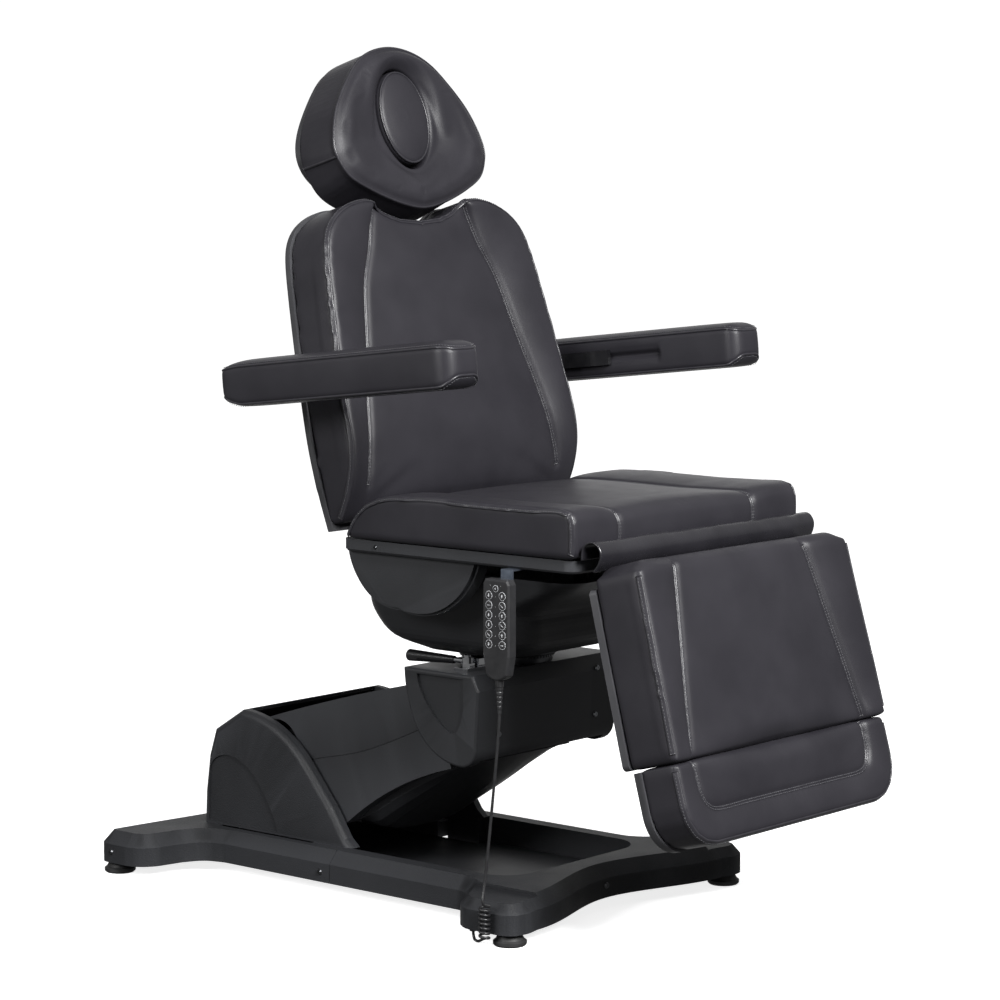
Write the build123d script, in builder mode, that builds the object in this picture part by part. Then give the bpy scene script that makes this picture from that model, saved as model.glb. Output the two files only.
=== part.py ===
from build123d import *
import os
from math import cos, hypot, radians, sin, tan

# A powered facial treatment bed, set up as a chair.
# Frame: millimetres, +Z up, sitter faces -Y, +X is the sitter's left, origin on the floor
# at the middle of the bed's width and length.

os.makedirs("parts", exist_ok=True)

# ---------------------------------------------------------------- driving dimensions
GAP = 0.3                      # clearance between pieces of different bodies

FLOOR_GAP = 22                 # underside of the base covers above the floor
RAIL_TOP = 80                  # deck of the base
RAIL_BEVEL_Z = 57              # where the rail's vertical face turns into its bevel
RAIL_BEVEL_X = 20
RAIL_X = 240                   # outer face of the rails
COVER_SPLIT_Y = 200            # joint between the front and the rear base cover
BLOCK_X, BLOCK_TOP = 335, 74   # front corner blocks
BASE_FRONT_Y, BASE_REAR_Y = -313, 668
NOSE_Y = -247                  # middle of the hollow front edge
WING_X = 378
FOOT_FRONT, FOOT_REAR = (303, -280), (347, 638)
FOOT_R, FOOT_H, STUD_R = 29, 18, 5

BASIN_X, BASIN_FRONT, BASIN_REAR = 190, -184, 520
PAN_Z, PAN_T = 26, 4

TUBE_Z, TUBE_H = 26, 30        # steel tubes in the base
SIDE_TUBE_X, SIDE_TUBE_W = 214, 30
FRONT_TUBE_Y, REAR_TUBE_Y, CROSS_W = -214, 598, 36
FOOT_PLATE_T = 8

CHEEK_X, CHEEK_IN = 195, 172   # lift housing, outer and inner faces of its cheeks
BRACKET_IN = 166               # inner face of the pivot brackets
ARM_PIVOT = (402, 236)         # (y, z) of the lift arm's lower shaft
ARM_ANGLE, ARM_LENGTH = 16, 450
LINK_OFFSET = (20, -55)        # lower link's pivots from the arm's pivots
SHAFT_R, LINK_PIN_R = 12.5, 10
ARM_COVER_X, COVER_T = 165, 4
ARM_BAR_X, LINK_BAR_X = 120, 90
LINK_HALF, LINK_BOSS_R = 11, 16  # half the link bars' height, and the round of their ends
BASE_CORNER_R = 45             # largest rounding of the base's corners in plan

HEAD_X, CAP_X, HEAD_SPLIT_X = 195, 173, 122
HEAD_TOP, HEAD_FRONT, HEAD_BACK, HEAD_BOTTOM = 427, -110, 60, 262
SWIVEL_Y = -16                 # turntable axis
RING_R = 86

TILT_PIVOT = (70, 600)         # seat tilt axis
TRAY_BOTTOM, TRAY_TOP = 642, 664
SEAT_X, SEAT_FRONT, SEAT_REAR = 317, -428, 94
SEAT_BOTTOM, SEAT_TOP = 666, 748

BACK_FOOT, BACK_TILT = (62, 743), 15.3        # back panel's plane at the seat
BACK_PIVOT = (110, 650)
LEG_HEAD, LEG_TILT = (-546, 660), 15.5        # leg rest panel's plane at its top
LEG_PIVOT = (-435, 637)
HEADREST_PIVOT = (530, -100)   # (v, n) in the back's plane
ARMREST_X, ARMREST_W = 396, 88
ARMREST_FRONT, ARMREST_LENGTH = (-265, 985), 536
ARMREST_TILT = 6.2

HANDSET_FACE_X, HANDSET_Y = -351, -289
HANDSET_T, HANDSET_BOTTOM, HANDSET_TOP = 20, 458, 628
CORD_R, COIL_R = 2.5, 10.5
COIL_X, COIL_Y, COIL_TOP, COIL_BOTTOM = -347, -261, 74, 17


def side_plane(x):
    """Plane whose local x is the world's y and whose normal is +X."""
    return Plane(origin=(x, 0, 0), x_dir=(0, 1, 0), z_dir=(1, 0, 0))


def face_plane(foot, tilt, forward=0.0):
    """Plane of a panel that leans back by tilt: local (x, height), normal to the front."""
    t = radians(tilt)
    front = Vector(0, -cos(t), sin(t))
    origin = Vector(0, foot[0], foot[1]) + front * forward
    return Plane(origin=origin, x_dir=(1, 0, 0), z_dir=front)


def back_plane(forward=0.0):
    return face_plane(BACK_FOOT, BACK_TILT, forward)


def leg_plane(forward=0.0):
    return face_plane(LEG_HEAD, LEG_TILT, forward)


def save(builder, name):
    builder.part.label = name
    export_step(builder.part, f"parts/{name}.step")


def rod(x0, x1, y, z, radius):
    """A round bar along X, added to the open part."""
    with Locations(Location(((x0 + x1) / 2, y, z), (0, 90, 0))):
        Cylinder(radius, x1 - x0)


def bore(x0, x1, y, z, radius):
    """A round hole along X, cut from the open part."""
    with Locations(Location(((x0 + x1) / 2, y, z), (0, 90, 0))):
        Cylinder(radius, x1 - x0, mode=Mode.SUBTRACT)


def block(x0, x1, y0, y1, z0, z1, mode=Mode.ADD):
    """A box given by its limits, in the open part."""
    with Locations(((x0 + x1) / 2, (y0 + y1) / 2, (z0 + z1) / 2)):
        Box(x1 - x0, y1 - y0, z1 - z0, mode=mode)


def arm_point(along, up):
    """(y, z) of a point of the lift arm: along it from its lower shaft, and square to it."""
    a = radians(ARM_ANGLE)
    return (ARM_PIVOT[0] - along * cos(a) + up * sin(a),
            ARM_PIVOT[1] + along * sin(a) + up * cos(a))


HEAD_PIVOT = arm_point(ARM_LENGTH, 0)
LINK_REACH = hypot(*LINK_OFFSET)
LINK_PIVOT = (ARM_PIVOT[0] + LINK_OFFSET[0], ARM_PIVOT[1] + LINK_OFFSET[1])
HEAD_LINK = (HEAD_PIVOT[0] + LINK_OFFSET[0], HEAD_PIVOT[1] + LINK_OFFSET[1])


# ---------------------------------------------------------------- base
def corner_radii(points, largest=1000):
    """Radius at each corner of a route: as large as its two runs allow, up to largest."""
    radii = []
    for a, b, c in zip(points, points[1:], points[2:]):
        run_in, run_out = Vector(*b) - Vector(*a), Vector(*c) - Vector(*b)
        turn = run_in.get_angle(run_out)
        radii.append(min(largest, 0.45 * min(run_in.length, run_out.length) / tan(radians(turn) / 2)))
    return radii


def base_outline():
    """Plan of the base covers: hollow front edge, corner blocks, rails and rear wings."""
    with BuildLine() as outline:
        front = [(-262, -306), (-205, -299), (-105, -268), (0, NOSE_Y), (105, -268), (205, -299), (262, -306)]
        Spline(*front)
        right = [(262, -306), (292, BASE_FRONT_Y), (322, BASE_FRONT_Y + 6), (BLOCK_X, -288), (BLOCK_X, -206),
                 (316, -178), (254, -142), (RAIL_X, -118), (RAIL_X, 470), (252, 512), (290, 530), (345, 541),
                 (372, 560), (WING_X, 590), (WING_X, 648), (362, BASE_REAR_Y - 1), (300, 660), (145, 638),
                 (0, 632)]
        radii = corner_radii([(x, y, 0) for x, y in right], BASE_CORNER_R)
        FilletPolyline(*right, radius=radii)
        FilletPolyline(*[(-x, y) for x, y in right], radius=radii)
    return outline.edges()


def base_body():
    with BuildSketch(Plane.XY.offset(FLOOR_GAP)) as plan:
        make_face(base_outline())
    extrude(plan.sketch, amount=RAIL_TOP - FLOOR_GAP)
    rim = faces().sort_by(Axis.Z)[-1].outer_wire().edges()
    chamfer(rim, length=RAIL_TOP - RAIL_BEVEL_Z, length2=RAIL_BEVEL_X)


def basin_cut():
    """The recess that the lift arm folds into."""
    with BuildSketch(Plane.XY.offset(RAIL_TOP)) as opening:
        with Locations((0, (BASIN_FRONT + COVER_SPLIT_Y) / 2)):
            Rectangle(2 * BASIN_X, COVER_SPLIT_Y - BASIN_FRONT)
        with Locations((0, (COVER_SPLIT_Y + BASIN_REAR) / 2)):
            Rectangle(2 * CHEEK_IN, BASIN_REAR - COVER_SPLIT_Y)
        fillet(vertices().sort_by(Axis.Y)[:2], radius=62)
    extrude(opening.sketch, amount=-(RAIL_TOP - FLOOR_GAP), mode=Mode.SUBTRACT)


def frame_pockets(clear):
    """The space of the steel frame: side tubes, cross tubes and foot plates."""
    top = TUBE_Z + TUBE_H + clear
    for side in (-1, 1):
        x = side * SIDE_TUBE_X
        half = SIDE_TUBE_W / 2 + clear
        block(x - half, x + half, FRONT_TUBE_Y, REAR_TUBE_Y, FLOOR_GAP, top, Mode.SUBTRACT)
        fx, fy = FOOT_FRONT
        block(side * fx - 18 - clear, side * fx + 18 + clear, fy - 18 - clear, FRONT_TUBE_Y,
              FLOOR_GAP, top, Mode.SUBTRACT)
        rx, ry = FOOT_REAR
        block(side * rx - 18 - clear, side * rx + 18 + clear, REAR_TUBE_Y, ry + 18 + clear,
              FLOOR_GAP, top, Mode.SUBTRACT)
    half = CROSS_W / 2 + clear
    block(-FOOT_FRONT[0] - 18 - clear, FOOT_FRONT[0] + 18 + clear, FRONT_TUBE_Y - half, FRONT_TUBE_Y + half,
          FLOOR_GAP, top, Mode.SUBTRACT)
    block(-FOOT_REAR[0] - 18 - clear, FOOT_REAR[0] + 18 + clear, REAR_TUBE_Y - half, REAR_TUBE_Y + half,
          FLOOR_GAP, top, Mode.SUBTRACT)


with BuildPart() as base_front_cover:
    base_body()
    basin_cut()
    frame_pockets(GAP)
    block(-400, 400, COVER_SPLIT_Y, 800, 0, 100, Mode.SUBTRACT)
    for side in (-1, 1):
        inner, outer = sorted((side * (RAIL_X + 2), side * 400))
        block(inner, outer, BASE_FRONT_Y - 10, -110, BLOCK_TOP, 100, Mode.SUBTRACT)
save(base_front_cover, "base_front_cover")

with BuildPart() as base_rear_cover:
    base_body()
    basin_cut()
    frame_pockets(GAP)
    block(-400, 400, -400, COVER_SPLIT_Y + 1, 0, 100, Mode.SUBTRACT)
    for side in (-1, 1):
        inner, outer = sorted((side * (CHEEK_IN - 1), side * (SIDE_TUBE_X - 10)))
        block(inner, outer, 280, BASIN_REAR, FLOOR_GAP, RAIL_TOP, Mode.SUBTRACT)
save(base_rear_cover, "base_rear_cover")

with BuildPart() as base_pan:
    inset = 1
    with BuildSketch(Plane.XY.offset(PAN_Z)):
        with Locations((0, (BASIN_FRONT + COVER_SPLIT_Y) / 2)):
            Rectangle(2 * (BASIN_X - inset), COVER_SPLIT_Y - BASIN_FRONT - 2 * inset)
        with Locations((0, (COVER_SPLIT_Y + BASIN_REAR) / 2 - inset)):
            Rectangle(2 * (BRACKET_IN - inset), BASIN_REAR - COVER_SPLIT_Y)
        fillet(vertices().sort_by(Axis.Y)[:2], radius=61)
    extrude(amount=PAN_T)
save(base_pan, "base_pan")

with BuildPart() as base_frame:
    for side in (-1, 1):
        x = side * SIDE_TUBE_X
        half = SIDE_TUBE_W / 2
        block(x - half, x + half, FRONT_TUBE_Y, REAR_TUBE_Y, TUBE_Z, TUBE_Z + TUBE_H)
        for (fx, fy), toward in ((FOOT_FRONT, FRONT_TUBE_Y), (FOOT_REAR, REAR_TUBE_Y)):
            y0, y1 = sorted((fy + (18 if fy > 0 else -18), toward))
            block(side * fx - 18, side * fx + 18, y0, y1, TUBE_Z + TUBE_H - FOOT_PLATE_T, TUBE_Z + TUBE_H)
        inner, outer = sorted((side * 181, side * (SIDE_TUBE_X - SIDE_TUBE_W / 2)))
        block(inner, outer, 300, 500, TUBE_Z, TUBE_Z + TUBE_H)
    for y, x in ((FRONT_TUBE_Y, FOOT_FRONT[0]), (REAR_TUBE_Y, FOOT_REAR[0])):
        block(-x - 18, x + 18, y - CROSS_W / 2, y + CROSS_W / 2, TUBE_Z, TUBE_Z + TUBE_H)
    feet = [(side * x, y, TUBE_Z + TUBE_H) for side in (-1, 1) for x, y in (FOOT_FRONT, FOOT_REAR)]
    with Locations(*feet):
        Hole(STUD_R + 0.05, depth=TUBE_H)
save(base_frame, "base_frame")

with BuildPart() as levelling_feet:
    for side in (-1, 1):
        for fx, fy in (FOOT_FRONT, FOOT_REAR):
            with BuildSketch(Plane(origin=(side * fx, fy, 0), x_dir=(1, 0, 0), z_dir=(0, -1, 0))):
                with BuildLine():
                    Polyline((0, 0), (FOOT_R - 3, 0), (FOOT_R, 3), (FOOT_R, 8), (FOOT_R - 4, 11),
                             (FOOT_R - 8, FOOT_H),
                             (STUD_R, FOOT_H), (STUD_R, TUBE_Z + TUBE_H), (0, TUBE_Z + TUBE_H), (0, 0))
                make_face()
            revolve(axis=Axis((side * fx, fy, 0), (0, 0, 1)))
save(levelling_feet, "levelling_feet")


def screw_heads(places, direction, radius=6, height=2.5):
    """Domed screw heads with a cross slot, one at each place, standing out along direction."""
    for place in places:
        plane = Plane(origin=place, z_dir=direction)
        with BuildSketch(plane) as head:
            Circle(radius)
        extrude(head.sketch, amount=height, taper=30)
        with BuildSketch(plane.offset(height)) as slot:
            Rectangle(radius, radius / 5)
            Rectangle(radius / 5, radius)
        extrude(slot.sketch, amount=-height / 2, mode=Mode.SUBTRACT)


with BuildPart() as base_screws:
    for side in (-1, 1):
        screw_heads([(side * RAIL_X, COVER_SPLIT_Y + 26, 40), (side * WING_X, 630, 42)], (side, 0, 0))
    screw_heads([(0, NOSE_Y - 0.3, 44)], (0, -1, 0))
save(base_screws, "base_screws")


# ---------------------------------------------------------------- lift housing
def housing_profile():
    """Side view of the lift housing in (y, z)."""
    with BuildLine() as outline:
        Polyline((188, RAIL_TOP), (206, 95), (243, 149), (306, 223))
        ThreePointArc((306, 223), (372, 276), (471, 303))
        Polyline((471, 303), (541, 260), (558, 209), (568, 140), (571, RAIL_TOP), (188, RAIL_TOP))
    return outline.edges()


POCKET_ARCH = [(376, 86), (383, 106), (403, 142), (426, 173), (457, 200), (488, 212), (520, 212),
               (541, 202), (552, 184)]
POCKET_DEPTH = 3.0             # flat D-shaped pocket in each side of the lift housing
with BuildPart() as lift_housing:
    with BuildSketch(side_plane(-CHEEK_X)):
        make_face(housing_profile())
    extrude(amount=2 * CHEEK_X)
    rims = [e for e in edges() if abs(abs(e.center().X) - CHEEK_X) < 0.01 and e.center().Z > RAIL_TOP + 3]
    fillet(rims, radius=12)
    with BuildSketch(side_plane(-CHEEK_IN)):
        with BuildLine():
            Polyline((150, RAIL_TOP - 1), (150, 330), (468, 330), (470, 296), (535, 256), (552, 208),
                     (562, 140),
                     (565, RAIL_TOP - 1), (150, RAIL_TOP - 1))
        make_face()
    extrude(amount=2 * CHEEK_IN, mode=Mode.SUBTRACT)
    for side in (-1, 1):
        with BuildSketch(side_plane(side * CHEEK_X)):
            with BuildLine():
                Spline(*POCKET_ARCH)
                Polyline(POCKET_ARCH[-1], (557, 86), POCKET_ARCH[0])
            make_face()
        extrude(amount=-side * POCKET_DEPTH, mode=Mode.SUBTRACT)
    block(-24, 24, 560, 575, 100, 128, Mode.SUBTRACT)
save(lift_housing, "lift_housing")

with BuildPart() as power_inlet:
    block(-23.7, 23.7, 556, 573, 100.3, 127.7)
    block(-14, 14, 562, 574, 105, 123, Mode.SUBTRACT)
    for x in (-7, 0, 7):
        block(x - 1, x + 1, 561, 572, 111, 117)
save(power_inlet, "power_inlet")

with BuildPart() as control_box:
    block(-75, 75, 486, 548, 92, 196)
    chamfer(edges().filter_by(Axis.X), length=4)
save(control_box, "control_box")

with BuildPart() as pivot_brackets:
    for side in (-1, 1):
        inner, outer = sorted((side * CHEEK_IN, side * BRACKET_IN))
        with BuildSketch(side_plane(inner)):
            with BuildLine():
                Polyline((300, TUBE_Z), (500, TUBE_Z), (500, 92), (452, 236), (420, 278), (384, 278),
                         (352, 236),
                         (300, 92), (300, TUBE_Z))
            make_face()
        extrude(amount=outer - inner)
        spacer_in, spacer_out = sorted((side * CHEEK_IN, side * 181))
        block(spacer_in, spacer_out, 300, 500, TUBE_Z, TUBE_Z + TUBE_H)
    for (y, z), radius in ((ARM_PIVOT, SHAFT_R), (LINK_PIVOT, LINK_PIN_R)):
        bore(-CHEEK_X, CHEEK_X, y, z, radius)
save(pivot_brackets, "pivot_brackets")

with BuildPart() as lift_shafts:
    rod(-CHEEK_IN, CHEEK_IN, *ARM_PIVOT, SHAFT_R)
    rod(-CHEEK_IN, CHEEK_IN, *LINK_PIVOT, LINK_PIN_R)
save(lift_shafts, "lift_shafts")


# ---------------------------------------------------------------- lift arm
def arm_profile(wall=0):
    """Side view of the arm's cover in (y, z): round tail, flat top, belly edge rising forward."""
    tail = arm_point(-58 + wall, 0)
    top_tail, top_nose = arm_point(0, 60 - wall), arm_point(402, 55 - wall)
    with BuildLine() as outline:
        ThreePointArc(arm_point(0, -60 + wall), tail, top_tail)
        ThreePointArc(top_tail, arm_point(200, 62 - wall), top_nose)
        Polyline(top_nose, (-8 if wall == 0 else 2, 300), (-27 + wall, 250 + wall))
        ThreePointArc((-27 + wall, 250 + wall), (107 + wall / 2, 198 + wall), (229, 117 + 2 * wall))
        Line((229, 117 + 2 * wall), arm_point(0, -60 + wall))
    return outline.edges()


with BuildPart() as arm_cover:
    with BuildSketch(side_plane(-ARM_COVER_X)):
        make_face(arm_profile())
    extrude(amount=2 * ARM_COVER_X)
    with BuildSketch(side_plane(-ARM_COVER_X + COVER_T)):
        make_face(arm_profile(COVER_T))
    extrude(amount=2 * (ARM_COVER_X - COVER_T), mode=Mode.SUBTRACT)
    with BuildSketch(side_plane(-ARM_COVER_X)):
        with Locations(arm_point(0, 0)):
            Circle(54)
        with Locations(arm_point(-12, -50)):
            Circle(46)
        link_way = [arm_point(LINK_REACH * cos(radians(turn)), LINK_REACH * sin(radians(turn)))
                    for turn in range(-160, -104, 5)]
        with Locations(*link_way):
            Circle(LINK_BOSS_R + 2)
    extrude(amount=2 * ARM_COVER_X, mode=Mode.SUBTRACT)
    with BuildSketch(side_plane(-ARM_COVER_X + COVER_T)):
        with BuildLine():
            corners = [arm_point(385, 46), arm_point(430, 46), arm_point(430, -96), arm_point(385, -96)]
            Polyline(*corners, corners[0])
        make_face()
    extrude(amount=2 * (ARM_COVER_X - COVER_T), mode=Mode.SUBTRACT)
    with BuildSketch(side_plane(-ARM_COVER_X)):
        with BuildLine():
            corners = [arm_point(398, -20), arm_point(398, 80), arm_point(520, 80), arm_point(520, -62),
                       arm_point(425, -62)]
            Polyline(*corners, corners[0])
        make_face()
    extrude(amount=2 * ARM_COVER_X, mode=Mode.SUBTRACT)
    for side in (-1, 1):
        with BuildSketch(side_plane(side * ARM_COVER_X)):
            with BuildLine():
                seam = [(372, 204), (331, 219), (203, 250), (56, 307), (20, 322)]
                Spline(*seam)
                Spline(*[(y, z + 1.6) for y, z in reversed(seam)])
                Line(seam[0], (seam[0][0], seam[0][1] + 1.6))
                Line(seam[-1], (seam[-1][0], seam[-1][1] + 1.6))
            make_face()
        extrude(amount=-side * 1.2, mode=Mode.SUBTRACT)
save(arm_cover, "arm_cover")

BELLY_TOP = [(226, 119.2), (205, 135.8), (180, 153.9), (152, 172.2), (107, 197.7), (60, 219.7), (20, 235.2),
             (-20, 247.8)]
BELLY_LOW = [(226, 119.2), (215, 103), (190, 95), (157, 112), (112, 142), (62, 177), (20, 210), (-20, 247.8)]


def belly_section(x, share):
    """Side section of the arm's belly at x: share of the way from its top to its lowest line."""
    low = [(y0 + share * (y1 - y0), z0 + share * (z1 - z0))
           for (y0, z0), (y1, z1) in zip(BELLY_TOP, BELLY_LOW)]
    with BuildSketch(side_plane(x)) as section:
        with BuildLine():
            ThreePointArc(BELLY_TOP[0], BELLY_TOP[4], BELLY_TOP[-1])
            Spline(*reversed(low))
        make_face()
    return section.sketch.faces()[0]


with BuildPart() as arm_belly:
    shares = [(-138, 0.25), (-126, 0.55), (-105, 0.78), (-70, 0.94), (-30, 1.0), (30, 1.0), (70, 0.94),
              (105, 0.78), (126, 0.55), (138, 0.25)]
    loft([belly_section(x, share) for x, share in shares], ruled=True)
save(arm_belly, "arm_belly")

with BuildPart() as arm_bars:
    for side in (-1, 1):
        x = side * ARM_BAR_X
        with BuildSketch(side_plane(x - 6)):
            with BuildLine():
                ThreePointArc(arm_point(0, 30), arm_point(-30, 0), arm_point(0, -30))
                Line(arm_point(0, -30), arm_point(ARM_LENGTH, -30))
                ThreePointArc(arm_point(ARM_LENGTH, -30), arm_point(ARM_LENGTH + 30, 0),
                              arm_point(ARM_LENGTH, 30))
                Line(arm_point(ARM_LENGTH, 30), arm_point(0, 30))
            make_face()
        extrude(amount=12)
    with BuildSketch(side_plane(-ARM_BAR_X + 6)):
        with BuildLine():
            plate = [arm_point(90, 20), arm_point(90, 28), arm_point(330, 28), arm_point(330, 20)]
            Polyline(*plate, plate[0])
        make_face()
    extrude(amount=2 * (ARM_BAR_X - 6))
    for y, z in (ARM_PIVOT, HEAD_PIVOT):
        bore(-130, 130, y, z, SHAFT_R + 0.05)
save(arm_bars, "arm_bars")

with BuildPart() as link_bars:
    dy, dz = LINK_OFFSET
    for side in (-1, 1):
        x = side * LINK_BAR_X

        def at(along, up):
            y, z = arm_point(along, up)
            return (y + dy, z + dz)

        with BuildSketch(side_plane(x - 5)):
            with BuildLine():
                plate = [at(0, LINK_HALF), at(0, -LINK_HALF), at(ARM_LENGTH, -LINK_HALF),
                         at(ARM_LENGTH, LINK_HALF)]
                Polyline(*plate, plate[0])
            make_face()
            with Locations(LINK_PIVOT, HEAD_LINK):
                Circle(LINK_BOSS_R)
        extrude(amount=10)
    for y, z in (LINK_PIVOT, HEAD_LINK):
        bore(-100, 100, y, z, LINK_PIN_R + 0.05)
save(link_bars, "link_bars")


# ---------------------------------------------------------------- lift head
def head_profile():
    """Side view of the lift head in (y, z): flat top and front, round back."""
    with BuildLine() as outline:
        Polyline((HEAD_BACK, HEAD_TOP), (HEAD_FRONT + 8, HEAD_TOP), (HEAD_FRONT - 6, 400), (HEAD_FRONT, 300))
        ThreePointArc((HEAD_FRONT, 300), (-100, 273), (-78, HEAD_BOTTOM))
        ThreePointArc((-78, HEAD_BOTTOM), (-18, 276), (30, 320))
        ThreePointArc((30, 320), (53, 377), (HEAD_BACK, HEAD_TOP))
    return outline.edges()


def head_hollow():
    """The open inside of the lift head in (y, z), reaching out through its back and bottom."""
    with BuildLine() as outline:
        corners = [(HEAD_BACK + 20, HEAD_TOP - 4), (HEAD_FRONT + 12, HEAD_TOP - 4), (HEAD_FRONT, 400),
                   (HEAD_FRONT + 5, 300), (HEAD_FRONT + 13, 250), (HEAD_BACK + 20, 250)]
        Polyline(*corners, corners[0])
    return outline.edges()


with BuildPart() as head_shell:
    with BuildSketch(side_plane(-HEAD_SPLIT_X)):
        make_face(head_profile())
    extrude(amount=2 * HEAD_SPLIT_X)
    with BuildSketch(side_plane(-HEAD_SPLIT_X)):
        make_face(head_hollow())
    extrude(amount=2 * HEAD_SPLIT_X, mode=Mode.SUBTRACT)
save(head_shell, "head_shell")


def head_cap(side):
    """One end cap of the lift head, hollow inside, with a D-shaped pocket in its end face."""
    with BuildSketch(side_plane(side * HEAD_SPLIT_X)) as profile:
        make_face(head_profile())
    extrude(profile.sketch, amount=side * (HEAD_X - HEAD_SPLIT_X))
    fillet(faces().sort_by(Axis.X)[-1 if side > 0 else 0].outer_wire().edges(), radius=5)
    with BuildSketch(side_plane(side * HEAD_SPLIT_X)) as hollow:
        make_face(head_hollow())
    extrude(hollow.sketch, amount=side * (CAP_X - HEAD_SPLIT_X), mode=Mode.SUBTRACT)
    with BuildSketch(side_plane(side * HEAD_X)) as pocket:
        with BuildLine():
            Line((-80, 419), (28, 419))
            Spline((28, 419), (8, 372), (-25, 336), (-60, 321), (-78, 352), (-80, 419),
                   tangents=((-0.1, -1), (0, 1)))
        make_face()
    extrude(pocket.sketch, amount=-side * 6, mode=Mode.SUBTRACT)


with BuildPart() as head_caps:
    head_cap(-1)
    head_cap(1)
save(head_caps, "head_caps")

with BuildPart() as head_frame:
    block(-150, 150, -92, 0, 414, HEAD_TOP - 4.2)
    for side in (-1, 1):
        for x, width, (py, pz) in ((side * 146, 8, HEAD_PIVOT), (side * 70, 8, HEAD_LINK)):
            with BuildSketch(side_plane(x - width / 2)):
                with BuildLine():
                    Polyline((-92, 420), (0, 420), (py + 20, pz), (py + 14, pz - 16), (py - 14, pz - 16),
                             (-70, 380), (-92, 420))
                make_face()
            extrude(amount=width)
    rod(-158, 158, *HEAD_PIVOT, SHAFT_R)
    rod(-98, 98, *HEAD_LINK, LINK_PIN_R)
save(head_frame, "head_frame")

with BuildPart() as head_screws:
    screw_heads([(side * 135, HEAD_FRONT - 6.0, 404) for side in (-1, 1)], (0, -1, 0.06), radius=5.5)
    screw_heads([(side * 135, HEAD_FRONT - 1.9, 318) for side in (-1, 1)], (0, -1, 0.06), radius=5.5)
save(head_screws, "head_screws")

with BuildPart() as ring_lower:
    with BuildSketch(Plane.XY.offset(HEAD_TOP)):
        with Locations((0, SWIVEL_Y)):
            Circle(RING_R - 4)
            Circle(30, mode=Mode.SUBTRACT)
    extrude(amount=9)
    with BuildSketch(Plane.XY.offset(HEAD_TOP + 9)):
        with Locations((0, SWIVEL_Y)):
            Circle(RING_R)
            Circle(30, mode=Mode.SUBTRACT)
            with PolarLocations(RING_R, 72):
                Rectangle(3, 2.5, mode=Mode.SUBTRACT)
    extrude(amount=5)
save(ring_lower, "ring_lower")

CLAMP_X, CLAMP_Y = -150, -52
with BuildPart() as lever_clamp:
    block(-168, -84, CLAMP_Y - 16, CLAMP_Y + 16, HEAD_TOP, HEAD_TOP + 6)
    block(-136, -90, CLAMP_Y - 14, CLAMP_Y + 14, HEAD_TOP + 6, HEAD_TOP + 20)
    for radius, z in ((RING_R + 1, HEAD_TOP), (RING_R + 7, HEAD_TOP + 13)):
        with BuildSketch(Plane.XY.offset(z)):
            with Locations((0, SWIVEL_Y)):
                Circle(radius)
        extrude(amount=20, mode=Mode.SUBTRACT)
save(lever_clamp, "lever_clamp")

LEVER_Z = HEAD_TOP + 16.5      # height of the lever's arm
LEVER_WAY = Vector(-0.1, 1, 0).normalized()
LEVER_START = Vector(CLAMP_X, CLAMP_Y + 4, LEVER_Z)
with BuildPart() as lever_hub:
    with BuildSketch(Plane.XY.offset(HEAD_TOP + 6.3)):
        with Locations((CLAMP_X, CLAMP_Y)):
            RegularPolygon(13, 6)
    extrude(amount=7)
    with BuildSketch(Plane.XY.offset(HEAD_TOP + 13.3)):
        with Locations((CLAMP_X, CLAMP_Y)):
            Circle(9.5)
    extrude(amount=10)
    with BuildSketch(Plane.XY.offset(HEAD_TOP + 23.3)):
        with Locations((CLAMP_X, CLAMP_Y)):
            Circle(6)
    extrude(amount=4)
    with BuildSketch(Plane(origin=LEVER_START, z_dir=LEVER_WAY)):
        Circle(5)
    extrude(amount=24)
save(lever_hub, "lever_hub")

with BuildPart() as lever_handle:
    grip = Plane(origin=LEVER_START + LEVER_WAY * 24, z_dir=LEVER_WAY)
    with BuildSketch(grip):
        Circle(7)
    with BuildSketch(grip.offset(102)):
        Circle(11)
    loft()
    fillet(edges().sort_by(Axis.Y)[-1], radius=5)
save(lever_handle, "lever_handle")

# ---------------------------------------------------------------- turntable and under shell
HUB_Z = HEAD_TOP + 14 + GAP
with BuildPart() as ring_upper:
    with BuildSketch(Plane.XY.offset(HUB_Z)):
        with Locations((0, SWIVEL_Y)):
            Circle(RING_R + 6)
    extrude(amount=8)
    with BuildSketch(Plane.XY.offset(HUB_Z + 8)):
        with Locations((0, SWIVEL_Y)):
            Circle(62)
    extrude(amount=14)
    chamfer(edges().group_by(Axis.Z)[0], length=2)
save(ring_upper, "ring_upper")

with BuildPart() as swivel_bolts:
    with BuildSketch(Plane.XY.offset(HUB_Z + 8)):
        with Locations((0, SWIVEL_Y)):
            with PolarLocations(RING_R - 8, 6, start_angle=20):
                RegularPolygon(7.5, 6)
    extrude(amount=6)
save(swivel_bolts, "swivel_bolts")

SHELL_FLOOR = HUB_Z + 14.2
SHELL_SECTIONS = [(0, 145, -150, 80, 62), (24, 188, -196, 128, 70), (60, 206, -215, 150, 66),
                  (94, 218, -234, 150, 60), (134, 233, -320, 122, 50), (158, 240, -362, 100, 44)]


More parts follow.
